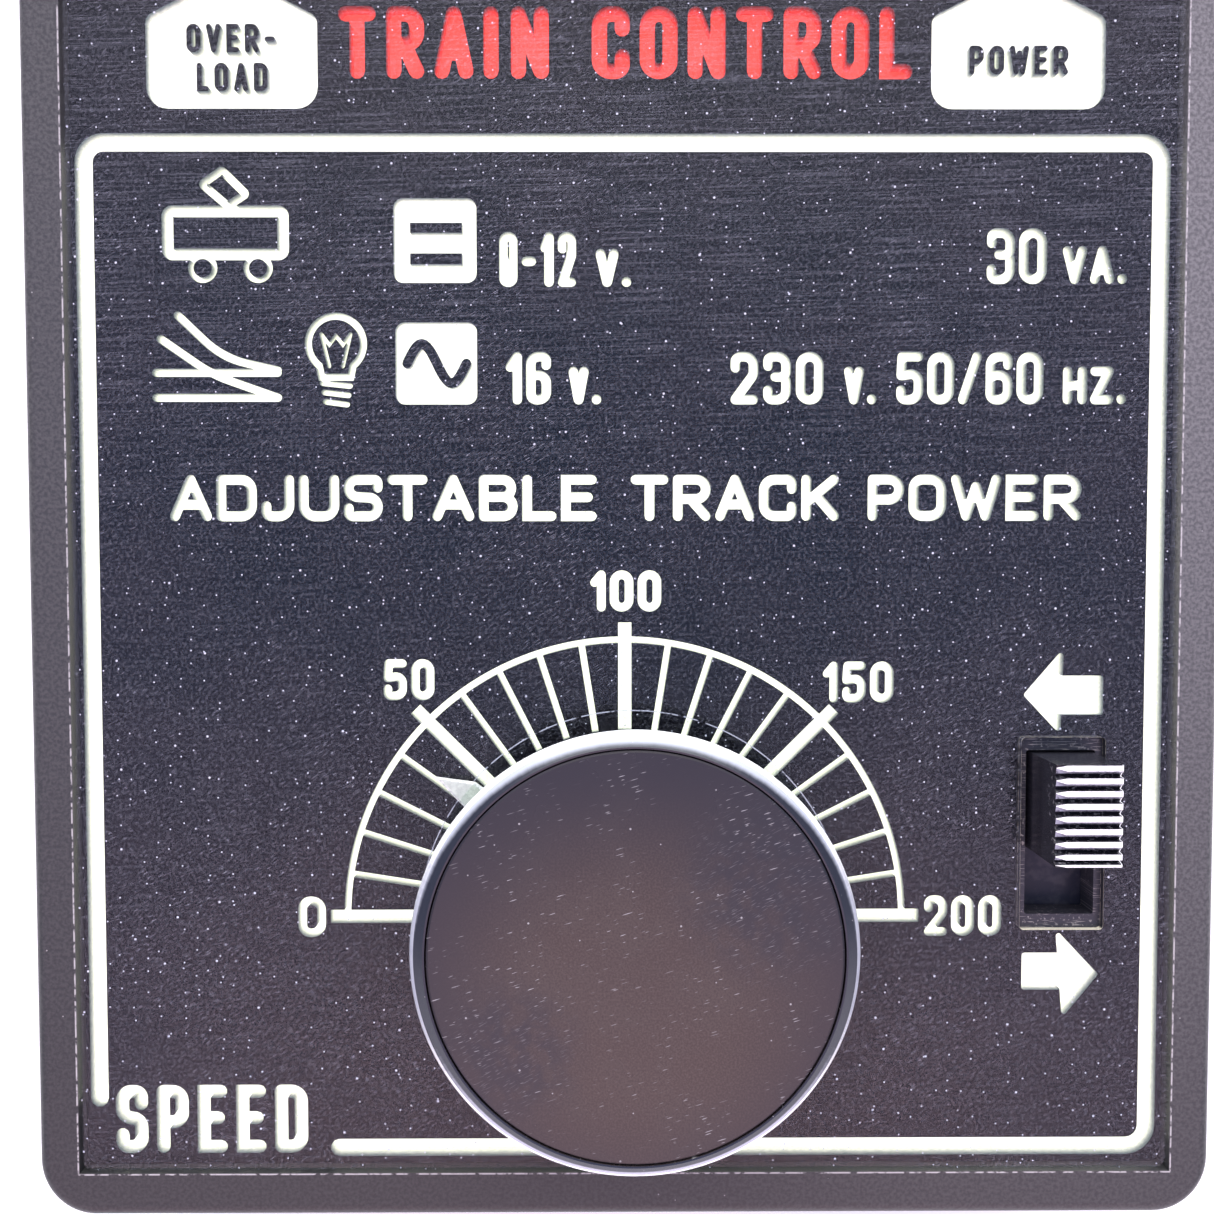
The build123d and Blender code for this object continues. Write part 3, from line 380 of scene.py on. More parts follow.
def speed_scale():
    """The half-circle scale: an arc, thin ticks and five thick ones."""
    shapes = [ribbon(arc(0, SCALE_V, SCALE_RADIUS, 0, 180, 120), THIN_LINE, caps=False)]
    centre = Vector((0, SCALE_V))
    for k in range(21):
        major = k % 5 == 0
        radial = Vector((math.cos(math.radians(9 * k)), math.sin(math.radians(9 * k))))
        reach = MAJOR_TICK_OUTER if major else SCALE_RADIUS
        shapes.append(ribbon([centre + radial * TICK_INNER, centre + radial * reach],
                             2 * THIN_LINE if major else THIN_LINE, caps=False))
    return shapes


def arrow(tip, head_top, head_bottom, shaft_end, low, high):
    """A direction arrow: a triangular head and a square shaft behind it."""
    direction = 1 if tip[0] > shaft_end else -1
    root = head_top[0] + direction * 0.6
    head = loop([tip, head_top, head_bottom], [0.3] * 3)
    return [anticlockwise(head), box(min(root, shaft_end), low, max(root, shaft_end), high, 0.3)]


# Half widths of strokes: the frame line, the pictures, and the lettering by size
FRAME_HALF, PICTURE_HALF, BULB_HALF, FILAMENT_HALF = 0.92, 0.42, 0.37, 0.2
SMALL_TEXT, SCALE_TEXT, VALUE_TEXT, HEADING_TEXT, SPEED_TEXT, TITLE_TEXT = 0.26, 0.46, 0.5, 0.52, 0.7, 0.78

# The frame line round the panel is open at the bottom left
FRAME_LINE = [(-30.1, 6.15), (55.05, 6.15), (55.05, 110.7), (-55.25, 110.7), (-55.25, 11.5)]
mark("white", ribbon(rounded(FRAME_LINE, [2.2, 2.0, 2.0], 8), FRAME_HALF))

mark("window", window(-48.75, -31.3), window(31.3, 49.1))
mark("black", *lettering("OVER-", -44.6, 119.75, -35.6, 122.6, SMALL_TEXT, 0.58))
mark("black", *lettering("LOAD", -43.6, 115.85, -36.4, 118.7, SMALL_TEXT, 0.58))
mark("black", *lettering("POWER", 35.2, 117.6, 45.3, 120.5, SMALL_TEXT, 0.58))
mark("red", *lettering("TRAIN CONTROL", -29.2, 117.1, 29.4, 124.4, TITLE_TEXT, 1.0))

# A tram with its collector
TRAM = [(-46.8, 99.4), (-35.0, 99.4), (-35.0, 103.75), (-46.8, 103.75)]
COLLECTOR = [(-41.2, 107.9), (-38.75, 105.5), (-40.6, 104.3), (-43.2, 106.5)]
mark("white", *ring(loop(TRAM, [0.5] * 4), 0.6))
mark("white", *ring(loop(COLLECTOR, [0.2] * 4), PICTURE_HALF))
WHEEL_V, WHEEL_RADIUS, WHEEL_MIDDLE = 98.0, 1.5, 0.93
for wheel in (-43.26, -37.59):
    mark("white", disc(wheel, WHEEL_V, WHEEL_RADIUS))
    mark("black", disc(wheel, WHEEL_V, WHEEL_MIDDLE))

# A turnout: two straight rails, and two that curve into them
RAIL_END = -35.7
for rail in (84.8, 87.35):
    mark("white", stroke(PICTURE_HALF, (-48.2, rail), (RAIL_END, rail)))
mark("white", ribbon(rounded([(-45.9, 93.2), (-41.4, 88.9), (RAIL_END, 87.6)], [9.0], 8), PICTURE_HALF))
mark("white", ribbon(rounded([(-47.7, 90.8), (-42.5, 87.2), (RAIL_END, 84.8)], [14.0], 8), PICTURE_HALF))

# A bulb: glass, screw cap, and a filament between two wires
glass = arc(-29.7, 90.3, 2.83, -52, 232, 40)
mark("white", *ring(glass + [Vector((-31.2, 86.9)), Vector((-28.2, 86.9))], BULB_HALF))
for step in range(3):
    narrower, lower = 0.15 * step, 0.95 * step
    mark("white", stroke(0.3, (-31.1 + narrower, 86.3 - lower), (-28.3 - narrower, 86.0 - lower)))
mark("white", stroke(FILAMENT_HALF, (-31.2, 91.3), (-30.4, 88.0)),
     stroke(FILAMENT_HALF, (-28.2, 91.3), (-29.0, 88.0)),
     stroke(FILAMENT_HALF, (-31.2, 91.3), (-30.4, 90.2), (-29.7, 91.1), (-29.0, 90.2), (-28.2, 91.3)))

# The signs of direct and alternating current
mark("white", box(-23.7, 96.5, -15.2, 105.1, 1.0), box(-23.6, 84.1, -15.2, 92.5, 1.0))
mark("black", box(-22.0, 101.6, -16.7, 102.6), box(-22.0, 98.4, -16.7, 99.5))
SINE_START, SINE_V, SINE_LENGTH, SINE_HEIGHT, SINE_STEPS = -22.4, 88.3, 6.1, 2.0, 24
turns = [k / SINE_STEPS for k in range(SINE_STEPS + 1)]
mark("black", stroke(0.5, *((SINE_START + SINE_LENGTH * turn,
                             SINE_V + SINE_HEIGHT * math.sin(2 * math.pi * turn)) for turn in turns)))

mark("white", *speed_scale())
for text, u0, v0, u1, v1 in (("0", -34.2, 28.6, -31.3, 32.9), ("50", -25.1, 53.5, -19.8, 57.8),
                             ("100", -3.6, 62.7, 3.8, 67.0), ("150", 20.6, 53.2, 28.0, 57.5),
                             ("200", 31.4, 28.6, 39.5, 32.9)):
    mark("white", *lettering(text, u0, v0, u1, v1, SCALE_TEXT, 0.42))
mark("white", *lettering("ADJUSTABLE", -47.0, 72.1, -2.9, 76.9, HEADING_TEXT, 0.45))
mark("white", *lettering("TRACK POWER", 0.6, 72.1, 47.3, 76.9, HEADING_TEXT, 0.45))
VALUES = [("0-12", -12.9, -5.0, 96.1, 101.7, 0.4), ("V.", -3.0, 0.7, 96.1, 100.0, 0.3),
          ("16", -12.3, -7.6, 84.1, 89.5, 0.4), ("V.", -5.8, -2.4, 84.1, 88.0, 0.3),
          ("30", 37.2, 43.4, 96.4, 102.1, 0.4), ("VA.", 45.0, 51.7, 96.4, 100.3, 0.3),
          ("230", 10.9, 20.5, 84.1, 89.5, 0.5), ("V.", 22.6, 26.0, 84.1, 88.0, 0.3),
          ("50/60", 28.0, 43.2, 84.1, 89.5, 0.4), ("HZ.", 45.2, 51.8, 84.1, 88.0, 0.3)]
for text, u0, u1, v0, v1, gap in VALUES:
    mark("white", *lettering(text, u0, v0, u1, v1, VALUE_TEXT, gap))
mark("white", *lettering("SPEED", -53.6, 5.6, -33.4, 12.9, SPEED_TEXT, 0.9))
mark("white", *arrow((41.5, 54.0), (45.7, 58.9), (45.45, 49.8), 49.85, 51.9, 56.0))
mark("white", *arrow((49.8, 24.5), (45.2, 29.4), (46.0, 19.8), 41.7, 22.85, 26.8))

KNOB_HOLE = 7.6
SWITCH_U, SLOT_V = 45.3, 39.7
STEP_DEPTH = 0.9
STEP = box(SWITCH_U - 4.35, SLOT_V - 10.05, SWITCH_U + 4.35, SLOT_V + 10.05, 0.45)
THROUGH = box(SWITCH_U - 3.6, SLOT_V - 8.6, SWITCH_U + 3.6, SLOT_V + 8.6, 0.25)
openings = [("hole", disc(KNOB_U, KNOB_V, KNOB_HOLE, 64)), ("hole", STEP)]


# ----------------------------------------------------------
# The legend as solids
# ----------------------------------------------------------
def triangulated(shapes):
    """Points, triangles and each triangle's colour: the colour of the last shape over it."""
    points, faces = [], []
    for _, outline in shapes:
        faces.append(list(range(len(points), len(points) + len(outline))))
        points.extend(outline)
    out = delaunay_2d_cdt(points, [], faces, 1, 1e-5)
    return out[0], [(tuple(t), shapes[max(ids)][0]) for t, ids in zip(out[2], out[5]) if ids]


def add_piece(name, mesh, materials, body, replaced=(), at=(0, 0, 0)):
    """A finished piece in the panel's axes, its origin at the panel point at."""
    obj = bpy.data.objects.new(name, mesh)
    bpy.context.scene.collection.objects.link(obj)
    obj.matrix_world = PANEL @ Matrix.Translation(Vector(at) * MM)
    for material in materials:
        mesh.materials.append(material)
    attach(obj, body)
    if replaced:
        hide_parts(*replaced)


def slab(name, points, triangles, colour, low, high, walls=None):
    """A closed solid over the triangles of one colour. walls gives a wall's material index by the colour
    across it."""
    across = {}
    for t, c in triangles:
        for a, b in zip(t, t[1:] + t[:1]):
            across[(a, b)] = c
    own = [t for t, c in triangles if c == colour]
    used = sorted({i for t in own for i in t})
    index = {i: k for k, i in enumerate(used)}
    count = len(used)
    verts = [(points[i].x * MM, points[i].y * MM, n * MM) for n in (high, low) for i in used]
    faces, slots = [], []
    for t in own:
        a, b, c = (index[i] for i in t)
        faces += [(a, b, c), (c + count, b + count, a + count)]
        slots += [0, 0]
        for p, q in zip(t, t[1:] + t[:1]):
            beyond = across.get((q, p))
            if beyond != colour:
                faces.append((index[q], index[p], index[p] + count, index[q] + count))
                slots.append((walls or {}).get(beyond, 0))
    mesh = bpy.data.meshes.new(name)
    mesh.from_pydata(verts, [], faces)
    mesh.polygons.foreach_set("material_index", slots)
    return mesh


def ink():
    """The black paint behind the clear plate, a little uneven."""
    f = Finish("ink", flat=True)
    cloud = f.noise(12.0)
    base = f.blend(f.span(cloud, 0.3, 0.7), (0.004, 0.005, 0.01), (0.01, 0.009, 0.014))
    return f.done(f.principled(base_color=base, roughness=f.span(cloud, 0.3, 0.7, 0.5, 0.7),
                               specular_ior_level=0.05))


def paint(name, colour, glow):
    """Paint in the legend's wells, with a painted glow (emission) standing in for light through the clear plate.
    """
    f = Finish(name)
    base = f.blend(f.span(f.noise(1.6, 3.0), 0.4, 0.75), colour, shade(colour, 0.95))
    return f.done(f.principled(base_color=base, roughness=0.5, emission_color=base, emission_strength=glow,
                               normal=f.bump(f.noise(0.3, 1.0), 0.015)))


def wall(name, top, bottom, glow):
    """A well's wall: dark where it leaves the black paint, and bright from 1.6 mm down, with a painted glow
    (emission) over its colour.
    """
    f = Finish(name)
    ragged = f.math("MULTIPLY", f.math("SUBTRACT", f.noise(0.5), 0.5), 0.5 * MM)
    share = f.span(f.math("ADD", f.split()[2], ragged), (BLACK_LEVEL - 1.6) * MM, (BLACK_LEVEL - 0.02) * MM)
    base = f.blend(share, bottom, top)
    return f.done(f.principled(base_color=base, roughness=0.5, emission_color=base, emission_strength=glow))


OUTLINE = box(-PLATE_HALF_WIDTH, PLATE_LOW, PLATE_HALF_WIDTH, PLATE_HIGH, PLATE_CORNER)
WHITE = (0.88, 0.89, 0.8)
RED = (0.9, 0.1, 0.07)
legend_walls = {"white": 1, "window": 1, "red": 2}
painted = triangulated([("black", OUTLINE), *legend, *openings])
# The wall materials glow too: a painted glow in the wells' walls.
add_piece("legend_black", slab("legend_black", *painted, "black", WHITE_LEVEL, BLACK_LEVEL, legend_walls),
          [ink(), wall("white_wall", (0.04, 0.07, 0.08), (0.8, 0.82, 0.72), 0.4),
           wall("red_wall", (0.12, 0.01, 0.02), (0.75, 0.07, 0.06), 0.3)],
          "housing", ["face_plate"])
RED_ZONE = box(-30.3, 116.2, 30.3, 125.4)
backing = triangulated([("white", OUTLINE), ("red", RED_ZONE), *openings])
# The white and red paints carry a painted glow: emission that stands in for light, not a lamp.
add_piece("legend_white", slab("legend_white", *backing, "white", PLATE_BACK, WHITE_LEVEL),
          [paint("white_paint", WHITE, 0.75)], "housing")
add_piece("legend_red", slab("legend_red", *backing, "red", PLATE_BACK, WHITE_LEVEL),
          [paint("red_paint", RED, 0.6)], "housing")


def away(f, u, v):
    """Distance in metres from the piece's own point (u, v), along the panel."""
    centre = (u * MM, v * MM, 0)
    spread = f.add("ShaderNodeVectorMath", {0: f.coords, 1: centre}, operation="SUBTRACT").outputs[0]
    flat = f.add("ShaderNodeVectorMath", {0: spread, 1: (1, 1, 0)}, operation="MULTIPLY").outputs[0]
    return f.add("ShaderNodeVectorMath", {0: flat}, operation="LENGTH").outputs["Value"]


def band(f, value, middle, half):
    """1 where value is at the middle, 0 from half away, in millimetres."""
    return f.span(f.math("ABSOLUTE", f.math("SUBTRACT", value, middle * MM)), 0.0, half * MM, 1.0, 0.0)


def clear_shader(f, haze, normal, rough, tint=(1, 1, 1)):
    """Clear plastic under a share of dust and scratches. Only its outer side reflects."""
    outer = f.math("SUBTRACT", 1.0, f.add("ShaderNodeNewGeometry").outputs["Backfacing"])
    gloss = f.add("ShaderNodeBsdfGlossy", {"Roughness": rough, "Normal": normal}).outputs[0]
    clear = f.add("ShaderNodeBsdfTransparent", {"Color": (*tint, 1)}).outputs[0]
    share = f.add("ShaderNodeFresnel", {"IOR": 1.49, "Normal": normal}).outputs[0]
    share = f.math("MULTIPLY", share, outer)
    surface = f.add("ShaderNodeMixShader", {0: share, 1: clear, 2: gloss}).outputs[0]
    dusty = f.add("ShaderNodeBsdfDiffuse", {"Color": (0.84, 0.88, 1.0, 1)}).outputs[0]
    share = f.math("MULTIPLY", haze, outer)
    return f.add("ShaderNodeMixShader", {0: share, 1: surface, 2: dusty}).outputs[0]


def clear_front():
    """Polished clear plastic with fine scratches, rubbed patches and dust, and a broken painted highlight line
    round the knob.
    """
    f = Finish("clear_front", flat=True)
    patches = f.span(f.noise(26.0), 0.3, 0.7, 0.25, 0.8)
    scratches = f.math("MULTIPLY", f.streaks(1.0, 0.07, 0.74, 0.84, 0.55), patches)
    high = f.span(f.split()[1], 66 * MM, 100 * MM, 0.3, 1.0)
    brushing = f.math("MULTIPLY", f.streaks(9.0, 0.14, 0.46, 0.8, 0.03), high)
    dust = f.math("MAXIMUM", f.specks(1.3, 0.1, 0.3), f.specks(4.6, 0.15, 0.4))
    # A painted highlight: a thin bright ring on the plate just outside the knob, broken by noise.
    broken_highlight = f.span(f.noise(1.4), 0.3, 0.44)
    highlight_ring = f.math("MULTIPLY", band(f, away(f, KNOB_U, KNOB_V), 22.05, 0.1), broken_highlight)
    film_and_sheen = f.span(f.noise(0.3, 1.0), 0.42, 0.78, 0.0, 0.07)
    haze = f.math("ADD", f.math("MULTIPLY", scratches, 0.3), f.math("MULTIPLY", brushing, 0.06))
    haze = f.math("ADD", haze, film_and_sheen)
    haze = f.math("ADD", haze, f.math("MULTIPLY", f.math("MAXIMUM", dust, highlight_ring), 0.9), clamp=True)
    normal = f.bump(f.noise(2.5, 0.0), 0.0015)
    return f.done(clear_shader(f, haze, normal, f.span(patches, 0.0, 1.0, 0.08, 0.16)))


def step_wall():
    """The clear plate's cut edge round the slot: painted highlights as a bright line above and below, and a cream
    painted highlight with a painted glow at the lower end.
    """
    f = Finish("step_wall")
    depth, low = f.split()[2], f.span(f.split()[1], (SLOT_V - 10.0) * MM, (SLOT_V - 9.8) * MM, 1.0, 0.0)
    lines = f.math("MAXIMUM", band(f, depth, PLATE_FRONT, 0.2),
                   band(f, depth, PLATE_FRONT - STEP_DEPTH, 0.15))
    # Painted highlight lines, broken by noise.
    broken_highlight = f.math("MULTIPLY", lines, f.span(f.noise(0.7), 0.36, 0.5))
    base = f.blend(f.math("MAXIMUM", broken_highlight, low), (0.03, 0.03, 0.04), (0.8, 0.74, 0.6))
    return f.done(f.principled(base_color=base, roughness=0.4, emission_color=base,
                               emission_strength=f.span(low, 0.0, 1.0, 0.0, 0.35)))


def ledge():
    """The step's matt bottom, with bright scratches and specks."""
    f = Finish("ledge")
    fleck = f.math("MULTIPLY", f.span(f.noise(0.35, 3.0), 0.56, 0.7), f.span(f.noise(3.0), 0.35, 0.6))
    lines = f.streaks(1.6, 0.09, 0.66, 0.76)
    bright = f.math("MAXIMUM", f.math("MULTIPLY", fleck, 0.5), f.math("MULTIPLY", lines, 0.5))
    base = f.blend(bright, (0.042, 0.042, 0.055), (0.75, 0.7, 0.65))
    return f.done(f.principled(base_color=base, roughness=0.35, normal=f.bump(f.noise(0.4), 0.03)))


front = triangulated([("clear", OUTLINE), *openings])
add_piece("plate_front", slab("plate_front", *front, "clear", BLACK_LEVEL + 0.05, PLATE_FRONT, {"hole": 1}),
          [clear_front(), step_wall()], "housing")
step = triangulated([("ledge", STEP), ("hole", THROUGH)])
add_piece("slot_step", slab("slot_step", *step, "ledge", PLATE_BACK, PLATE_FRONT - STEP_DEPTH), [ledge()],
          "housing")


# ----------------------------------------------------------
# Speed knob: clear body with a bevelled ring, sunk black cap and pointer
# ----------------------------------------------------------
KNOB_AT = (KNOB_U, KNOB_V, 0)
KNOB_RADIUS, LIP_RADIUS, WALL_INNER = 21.55, 21.95, 19.6
SKIRT_LOW, CAP_SEAT = 1.2, 6.0
HUB_RADIUS, HUB_BORE = 5.5, 3.05
BEVEL_INNER, BEVEL_OUTER = 20.12, 21.1


def revolved(name, profile, slots, sides=160):
    """A closed solid of revolution from its (radius, n) profile, which begins and ends on the axis. slots
    gives each profile step's material index."""
    verts, rows = [], []
    for radius, n in profile:
        if radius == 0:
            rows.append([len(verts)] * sides)
            verts.append((0, 0, n * MM))
            continue
        rows.append(list(range(len(verts), len(verts) + sides)))
        verts += [(radius * math.cos(a) * MM, radius * math.sin(a) * MM, n * MM)
                  for a in (2 * math.pi * k / sides for k in range(sides))]
    faces, indices = [], []
    for upper, lower, index in zip(rows, rows[1:], slots):
        for k in range(sides):
            m = (k + 1) % sides
            face = [upper[k], lower[k], lower[m], upper[m]]
            faces.append(list(dict.fromkeys(face)))
            indices.append(index)
    mesh = bpy.data.meshes.new(name)
    mesh.from_pydata(verts, [], faces)
    mesh.polygons.foreach_set("material_index", indices)
    return mesh


def knob_clear():
    """The knob's clear wall, scratched and dusty, with a broken painted highlight band towards its lower edge."""
    f = Finish("knob_clear")
    depth = f.split()[2]
    # A painted highlight: a bright band round the wall near its lower edge, broken by noise.
    rim_highlight = f.math("MULTIPLY", band(f, depth, 1.95, 0.35), f.span(f.noise(1.2), 0.34, 0.44))
    dust = f.math("MULTIPLY", f.specks(1.2, 0.09, 0.2), 0.5)
    haze = f.math("ADD", f.math("MULTIPLY", rim_highlight, 0.7), dust, clamp=True)
    return f.done(clear_shader(f, haze, f.bump(f.noise(1.5, 1.0), 0.004), 0.12, (0.93, 0.95, 0.95)))


def upward(f):
    """How far the surface faces up the panel's slope, from -1 to 1."""
    facing = f.add("ShaderNodeNewGeometry").outputs["Normal"]
    return f.add("ShaderNodeVectorMath", {0: facing, 1: AXIS_V}, operation="DOT_PRODUCT").outputs["Value"]


def knob_bevel():
    """The bevelled ring: a painted highlight where it slants towards the back of the room and along its lower
    outer side, set by the way its surface faces, and dark elsewhere."""
    f = Finish("knob_bevel")
    up = upward(f)
    outward = f.span(away(f, 0.0, 0.0), BEVEL_INNER * MM, BEVEL_OUTER * MM, smooth=False)
    wavy = f.math("MULTIPLY", f.noise(3.0), 0.25)
    # Painted highlight: bright where the surface faces up the slope, standing in for light from the back of the
    # room.
    above = f.span(f.math("ADD", f.math("ADD", outward, wavy), f.math("MULTIPLY", up, 1.35)), 1.05, 1.65)
    below = f.math("MULTIPLY", f.span(outward, 0.5, 0.75), f.span(up, -0.25, -0.5))
    base = f.blend(f.math("MAXIMUM", above, below), (0.022, 0.026, 0.042), (0.6, 0.65, 0.72))
    base = f.blend(f.math("MULTIPLY", f.specks(1.1, 0.08, 0.35), 0.4), base, (0.8, 0.8, 0.8))
    return f.done(f.principled(base_color=base, roughness=0.2, normal=f.bump(f.noise(0.7, 1.0), 0.003)))


def knob_edge():
    """The ring's outer edge: a painted highlight line with a painted glow, brightest at its upper and lower ends
    by the way its surface faces.
    """
    f = Finish("knob_edge")
    tone = f.math("MULTIPLY", f.span(f.noise(1.4, 3.0), 0.3, 0.5, 0.6, 1.0),
                  f.span(f.math("ABSOLUTE", upward(f)), 0.1, 0.55, 0.15, 1.0))
    base = f.blend(tone, (0.25, 0.27, 0.34), (0.92, 0.93, 0.93))
    return f.done(f.principled(base_color=base, roughness=0.35, emission_color=base, emission_strength=0.35,
                               normal=f.bump(f.noise(0.5, 1.0), 0.01)))


def cap_finish():
    """Polished black cap with a painted brown reflection in the middle that fades to dark towards its rim, two
    darker bluish patches, short fine scratches and dust."""
    f = Finish("cap_finish", flat=True)
    smear = f.span(f.noise(7.0, 3.0), 0.35, 0.7)
    grain = f.noise(0.2, 1.0)
    marks = f.math("MULTIPLY", f.streaks(1.1, 0.13, 0.81, 0.87, 0.3), smear)
    marks = f.math("MAXIMUM", marks, f.math("MAXIMUM", f.specks(2.6, 0.09, 0.12), f.specks(5.0, 0.13, 0.3)))
    # Two darker bluish patches, with fine scratches in them.
    rubbed = f.math("MAXIMUM", f.span(away(f, 13.0, 7.0), 3 * MM, 12 * MM, 1.0, 0.0),
                    f.span(away(f, -12.0, -9.0), 2 * MM, 9 * MM, 1.0, 0.0))
    rubbed = f.math("MULTIPLY", rubbed, f.span(f.noise(2.5, 3.0), 0.32, 0.6, 0.35, 1.0))
    fine = f.streaks(0.9, 0.1, 0.68, 0.86, 0.5)
    marks = f.math("MAXIMUM", marks, f.math("MULTIPLY", fine, f.math("MULTIPLY", rubbed, 0.22)))
    # Painted reflection: brown in the middle, fading to dark towards the rim.
    brown = f.blend(f.span(f.math("ADD", grain, f.math("MULTIPLY", smear, 0.15)), 0.3, 0.85),
                    (0.052, 0.038, 0.034), (0.084, 0.064, 0.055))
    base = f.blend(f.span(away(f, 0.0, -4.0), 8 * MM, 23 * MM), brown, (0.028, 0.026, 0.034))
    base = f.blend(f.math("MULTIPLY", rubbed, 0.8), base, (0.024, 0.026, 0.036))
    base = f.blend(f.math("MULTIPLY", marks, 0.55), base, (0.75, 0.75, 0.75))
    return f.done(f.principled(base_color=base, roughness=f.span(smear, 0.0, 1.0, 0.2, 0.32),
                               normal=f.bump(f.noise(1.2, 0.0), 0.002)))


CAP_FINISH = cap_finish()
CLEAR, BEVEL, EDGE, CORE = 0, 1, 2, 3
SEAT_RADIUS, CAP_RADIUS, CAP_TOP = 19.95, 19.85, 11.8
# Each point of the profile with the finish of the step that follows it: the cap's seat, the bevel, the edge with
# its painted highlight line, the clear wall and its lip, the hollow underneath, and the hub's bore
KNOB_PROFILE = [((0, CAP_SEAT), CORE), ((SEAT_RADIUS, CAP_SEAT), CORE),
                ((SEAT_RADIUS, 11.85), BEVEL), ((BEVEL_INNER, 11.88), BEVEL),
                ((BEVEL_OUTER, 11.07), EDGE), ((21.38, 10.78), EDGE), ((21.5, 10.5), EDGE),
                ((KNOB_RADIUS, 10.2), CLEAR), ((KNOB_RADIUS, 2.1), CLEAR), ((21.65, 1.9), CLEAR),
                ((21.9, 1.85), CLEAR), ((LIP_RADIUS, 1.75), CLEAR), ((LIP_RADIUS, SKIRT_LOW), CLEAR),
                ((WALL_INNER, SKIRT_LOW), CLEAR), ((WALL_INNER - 0.05, 5.0), CLEAR),
                ((HUB_RADIUS, 5.0), CLEAR), ((HUB_RADIUS, SKIRT_LOW), CLEAR),
                ((HUB_BORE, SKIRT_LOW), CLEAR), ((HUB_BORE, 4.9), CLEAR), ((0, 4.9), CLEAR)]
knob_points, knob_slots = zip(*KNOB_PROFILE)
add_piece("knob_body", revolved("knob_body", knob_points[::-1], knob_slots[-2::-1]),
          [knob_clear(), knob_bevel(), knob_edge(), CAP_FINISH],
          "knob", ["speed_knob"], KNOB_AT)
CAP_PROFILE = [(0, CAP_SEAT + 0.05), (CAP_RADIUS, CAP_SEAT + 0.05), (CAP_RADIUS, CAP_TOP - 0.25),
               (CAP_RADIUS - 0.07, CAP_TOP - 0.08), (CAP_RADIUS - 0.25, CAP_TOP), (0, CAP_TOP)]
add_piece("knob_top", revolved("knob_top", CAP_PROFILE, [0] * 5), [CAP_FINISH], "knob",
          ["knob_cap"], KNOB_AT)


def prism(name, rings):
    """A closed solid through rings of (u, v, n) points, all of the same length, from the top down."""
    count = len(rings[0])
    verts = [(u * MM, v * MM, n * MM) for points in rings for u, v, n in points]
    faces = [list(range(count)), list(range(count * len(rings) - 1, count * (len(rings) - 1) - 1, -1))]
    for r in range(len(rings) - 1):
        for k in range(count):
            m = (k + 1) % count
            faces.append([r * count + m, r * count + k, (r + 1) * count + k, (r + 1) * count + m])
    mesh = bpy.data.meshes.new(name)
    mesh.from_pydata(verts, [], faces)
    return mesh


def pointer_finish():
    f = Finish("pointer_finish")
    tone = f.span(f.noise(0.8, 3.0), 0.3, 0.7)
    base = f.blend(tone, (0.56, 0.6, 0.55), (0.74, 0.79, 0.72))
    # The emission is a painted glow that brightens the pointer.
    return f.done(f.principled(base_color=base, roughness=0.35, emission_color=base, emission_strength=0.28,
                               normal=f.bump(f.noise(0.3, 1.0), 0.01)))


def bright_rim():
    f = Finish("bright_rim")
    # The pointer's sides: a painted highlight outline with a painted glow.
    base = f.blend(f.span(f.noise(0.6), 0.35, 0.6), (0.55, 0.58, 0.56), (0.95, 0.96, 0.94))
    return f.done(f.principled(base_color=base, roughness=0.3, emission_color=base, emission_strength=0.35,
                               normal=f.bump(f.noise(0.4, 1.0), 0.01)))


# The pointer's outline along its own axis: a slim tip, and shoulders that differ from side to side
POINTER_TIP, POINTER_ROOT = 25.3, 19.6
LEFT_SHOULDER, RIGHT_SHOULDER = (21.2, 0.65), (21.8, -2.0)
turn_to_rest = Matrix.Rotation(math.radians(142.5), 2)
pointer_rings = []
for grow, n in ((-0.2, 1.2), (0.0, 1.02), (0.0, 0.4)):
    left, right = LEFT_SHOULDER[1] + grow, RIGHT_SHOULDER[1] - grow
    corners = [(POINTER_TIP + 2.6 * grow, grow), (LEFT_SHOULDER[0], left), (POINTER_ROOT, left),
               (POINTER_ROOT, right), (RIGHT_SHOULDER[0], right)]
    pointer_rings.append([(*(turn_to_rest @ Vector(c)), n) for c in corners])
pointer_mesh = prism("pointer", pointer_rings)
pointer_mesh.polygons.foreach_set("material_index", [0, 1] + [1] * (len(pointer_mesh.polygons) - 2))
add_piece("pointer", pointer_mesh, [pointer_finish(), bright_rim()], "knob",
          ["knob_pointer"], KNOB_AT)


# ----------------------------------------------------------
# Direction slider: ridged block with its dust shield and stem
# ----------------------------------------------------------
SLIDER_V = 43.05
SLIDER_HALF_WIDTH, SLIDER_HALF_LENGTH = 3.25, 5.05
SLIDER_TOP, GROOVE, SLIDER_LOW = 7.1, 6.25, -7.1
RIDGES, RIDGE_PITCH, RIDGE_HALF, LAST_RIDGE_HALF = 8, 1.25, 0.28, 0.13
SHIELD = (4.3, 12.1, -6.2, -5.4)
STEM = (1.5, 2.0, -9.3, -7.05)


